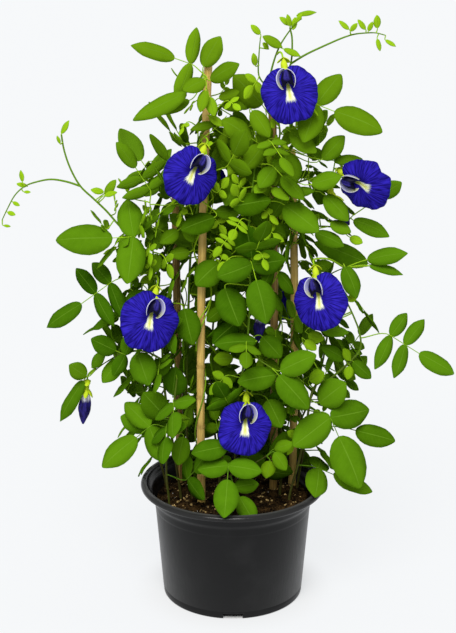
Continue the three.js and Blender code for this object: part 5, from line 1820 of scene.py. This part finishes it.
def crumb_brown(name, dark, warm, bump):
    """Two tones mixed by a coarse and a fine noise, which also give the bump."""
    material, tree, shader = new_finish(name, 0.9, Specular_IOR_Level=0.05)
    where = place(tree)
    coarse, fine = grain(tree, where, 110.0, 6.0), grain(tree, where, 620.0, 4.0)
    mixed = sums(tree, "MULTIPLY_ADD", fine, 0.9, sums(tree, "ADD", coarse, -0.45))
    color = blend(tree, fade(tree, mixed, 0.32, 0.72), dark, warm)
    set_inputs(shader, {"Base Color": color, "Normal": raised(tree, mixed, bump, 1.0)})
    return material


peat = crumb_brown("peat", PEAT_BLACK, PEAT_BROWN, 0.0022)
bark = crumb_brown("bark_crumb", BARK_BROWN, BARK_TAN, 0.0008)
perlite = crumb_brown("perlite", PERLITE_GREY, PERLITE_WHITE, 0.0005)
finished(shape, "soil_bed", "soil", ["soil"], peat)


# %% Crumbs
CRUMB_REACH = 67
CRUMBS = 900
PEAT_CRUMBS = 0.62
PERLITE_SPECKS = 26
CRUMB_SEED = 31


def add_crumb(shape, draw, size, number):
    """A small rough lump, half sunk in the bed."""
    reach, angle = CRUMB_REACH * math.sqrt(draw()), 2 * math.pi * draw()
    x, y = reach * math.cos(angle), reach * math.sin(angle)
    lie = Matrix.Translation((x, y, soil_top(x, y) + size * 0.1 - sunk_edge(reach)))
    axis = Vector((draw() - 0.5, draw() - 0.5, draw() + 0.1)).normalized()
    turn = Matrix.Rotation(6.28 * draw(), 4, axis)
    form = Matrix.Diagonal((size * (0.7 + draw()), size * (0.5 + 0.6 * draw()), size * 0.5, 1))
    lump = bmesh.ops.create_icosphere(shape, subdivisions=1, radius=1, matrix=lie @ turn @ form)["verts"]
    for face in {face for corner in lump for face in corner.link_faces}:
        face.material_index = number


draw = draws(CRUMB_SEED)
crumbs = bmesh.new()
for i in range(CRUMBS):
    add_crumb(crumbs, draw, 0.6 + 1.5 * draw() ** 3, 0 if draw() < PEAT_CRUMBS else 1)
for i in range(PERLITE_SPECKS):
    add_crumb(crumbs, draw, 0.5 + 0.5 * draw(), 2)
finished(crumbs, "soil_crumbs", "soil", ["soil"], peat, bark, perlite)

# %% [markdown]
# ## Floor, light and camera
# The plant stands on a plain pale floor in soft, even light, the brightest of it from above and in
# front. The camera looks down at about 17 degrees, as in the photograph, through a long lens.

# %% Floor
ROOM_WHITE = (0.922, 0.939, 0.956)
FLOOR_WHITE = 0.075
CONTACT_WHITE = 0.17
CONTACT_REACH = (0.06, 0.1)
UNDER_WHITE = 0.5
UNDER_REACH = (0.06, 0.066)
FLOOR_GLOW = 1.006
GLOW_PER_WHITE = 1.715
FLOOR_RADIUS = 30


def pale_floor():
    """A floor that glows, so that it stays even. Close round and under the pot's foot it glows less
    and is whiter instead, so that the pot's shadow shows there. Distances are in metres."""
    material, tree, shader = new_finish(
        "floor_white", 0.9, Specular_IOR_Level=0.0, Emission_Color=ROOM_WHITE,
    )
    reach = node(tree, "VectorMath", {0: place(tree)}, operation="LENGTH").outputs["Value"]
    contact = fade(tree, reach, *reversed(CONTACT_REACH))
    under = fade(tree, reach, *reversed(UNDER_REACH))
    white = sums(tree, "MULTIPLY_ADD", contact, CONTACT_WHITE, FLOOR_WHITE)
    white = sums(tree, "MULTIPLY_ADD", under, UNDER_WHITE, white)
    glow = sums(tree, "MAXIMUM", sums(tree, "MULTIPLY_ADD", white, -GLOW_PER_WHITE, FLOOR_GLOW))
    set_inputs(shader, {"Base Color": white, "Emission Strength": glow})
    return material


shape = bmesh.new()
bmesh.ops.create_circle(shape, cap_ends=True, radius=FLOOR_RADIUS, segments=64)
mesh = bpy.data.meshes.new("floor")
shape.to_mesh(mesh)
shape.free()
mesh.materials.append(pale_floor())
floor = bpy.data.objects.new("floor", mesh)
bpy.context.scene.collection.objects.link(floor)
floor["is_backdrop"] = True
print("floor radius, in metres:", FLOOR_RADIUS)

# %% Light
def add_sun(name, direction, angle, strength, color):
    """A broad soft light that shines the same everywhere, along a direction."""
    data = bpy.data.lights.new(name, "SUN")
    data.angle = math.radians(angle)
    data.energy = strength
    data.color = color
    lamp = bpy.data.objects.new(name, data)
    lamp.rotation_euler = Vector(direction).to_track_quat("-Z", "Y").to_euler()
    bpy.context.scene.collection.objects.link(lamp)
    lamp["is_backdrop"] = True


KEY_WAY = (0.2, 1.0, -1.25)
KEY_SPREAD = 38
KEY_STRENGTH = 3.7
KEY_WARMTH = (1.0, 0.985, 0.96)
SKY_STRENGTH = 0.75
add_sun("key", KEY_WAY, KEY_SPREAD, KEY_STRENGTH, KEY_WARMTH)

world = bpy.data.worlds.new("soft_room")
world.use_nodes = True
sky = world.node_tree.nodes["Background"]
sky.inputs["Color"].default_value = (*ROOM_WHITE, 1)
sky.inputs["Strength"].default_value = SKY_STRENGTH
bpy.context.scene.world = world
bpy.context.scene.view_settings.view_transform = "Standard"

# %% Camera
CAMERA_SPOT = (-0.00436, -1.3, 0.6691)
CAMERA_PITCH = 17.19
LENS = 86.5
view = bpy.data.cameras.new("camera")
view.lens = LENS
view.sensor_width = 36
camera = bpy.data.objects.new("camera", view)
camera.location = CAMERA_SPOT
camera.rotation_euler = (math.radians(90 - CAMERA_PITCH), 0, 0)
bpy.context.scene.collection.objects.link(camera)
bpy.context.scene.camera = camera
print("camera at", CAMERA_SPOT, "lens", LENS)

# %% [markdown]
# ## Sizes
# The dressed part must stay inside the CAD part's box. Both boxes are kept, to compare.

# %% Write the sizes and finish
dressed_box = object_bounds()
over = [max(solid_box[0][k] - dressed_box[0][k], dressed_box[1][k] - solid_box[1][k]) for k in range(3)]
print("largest reach past the CAD box, in mm:", round(max(over) * 1000, 2))
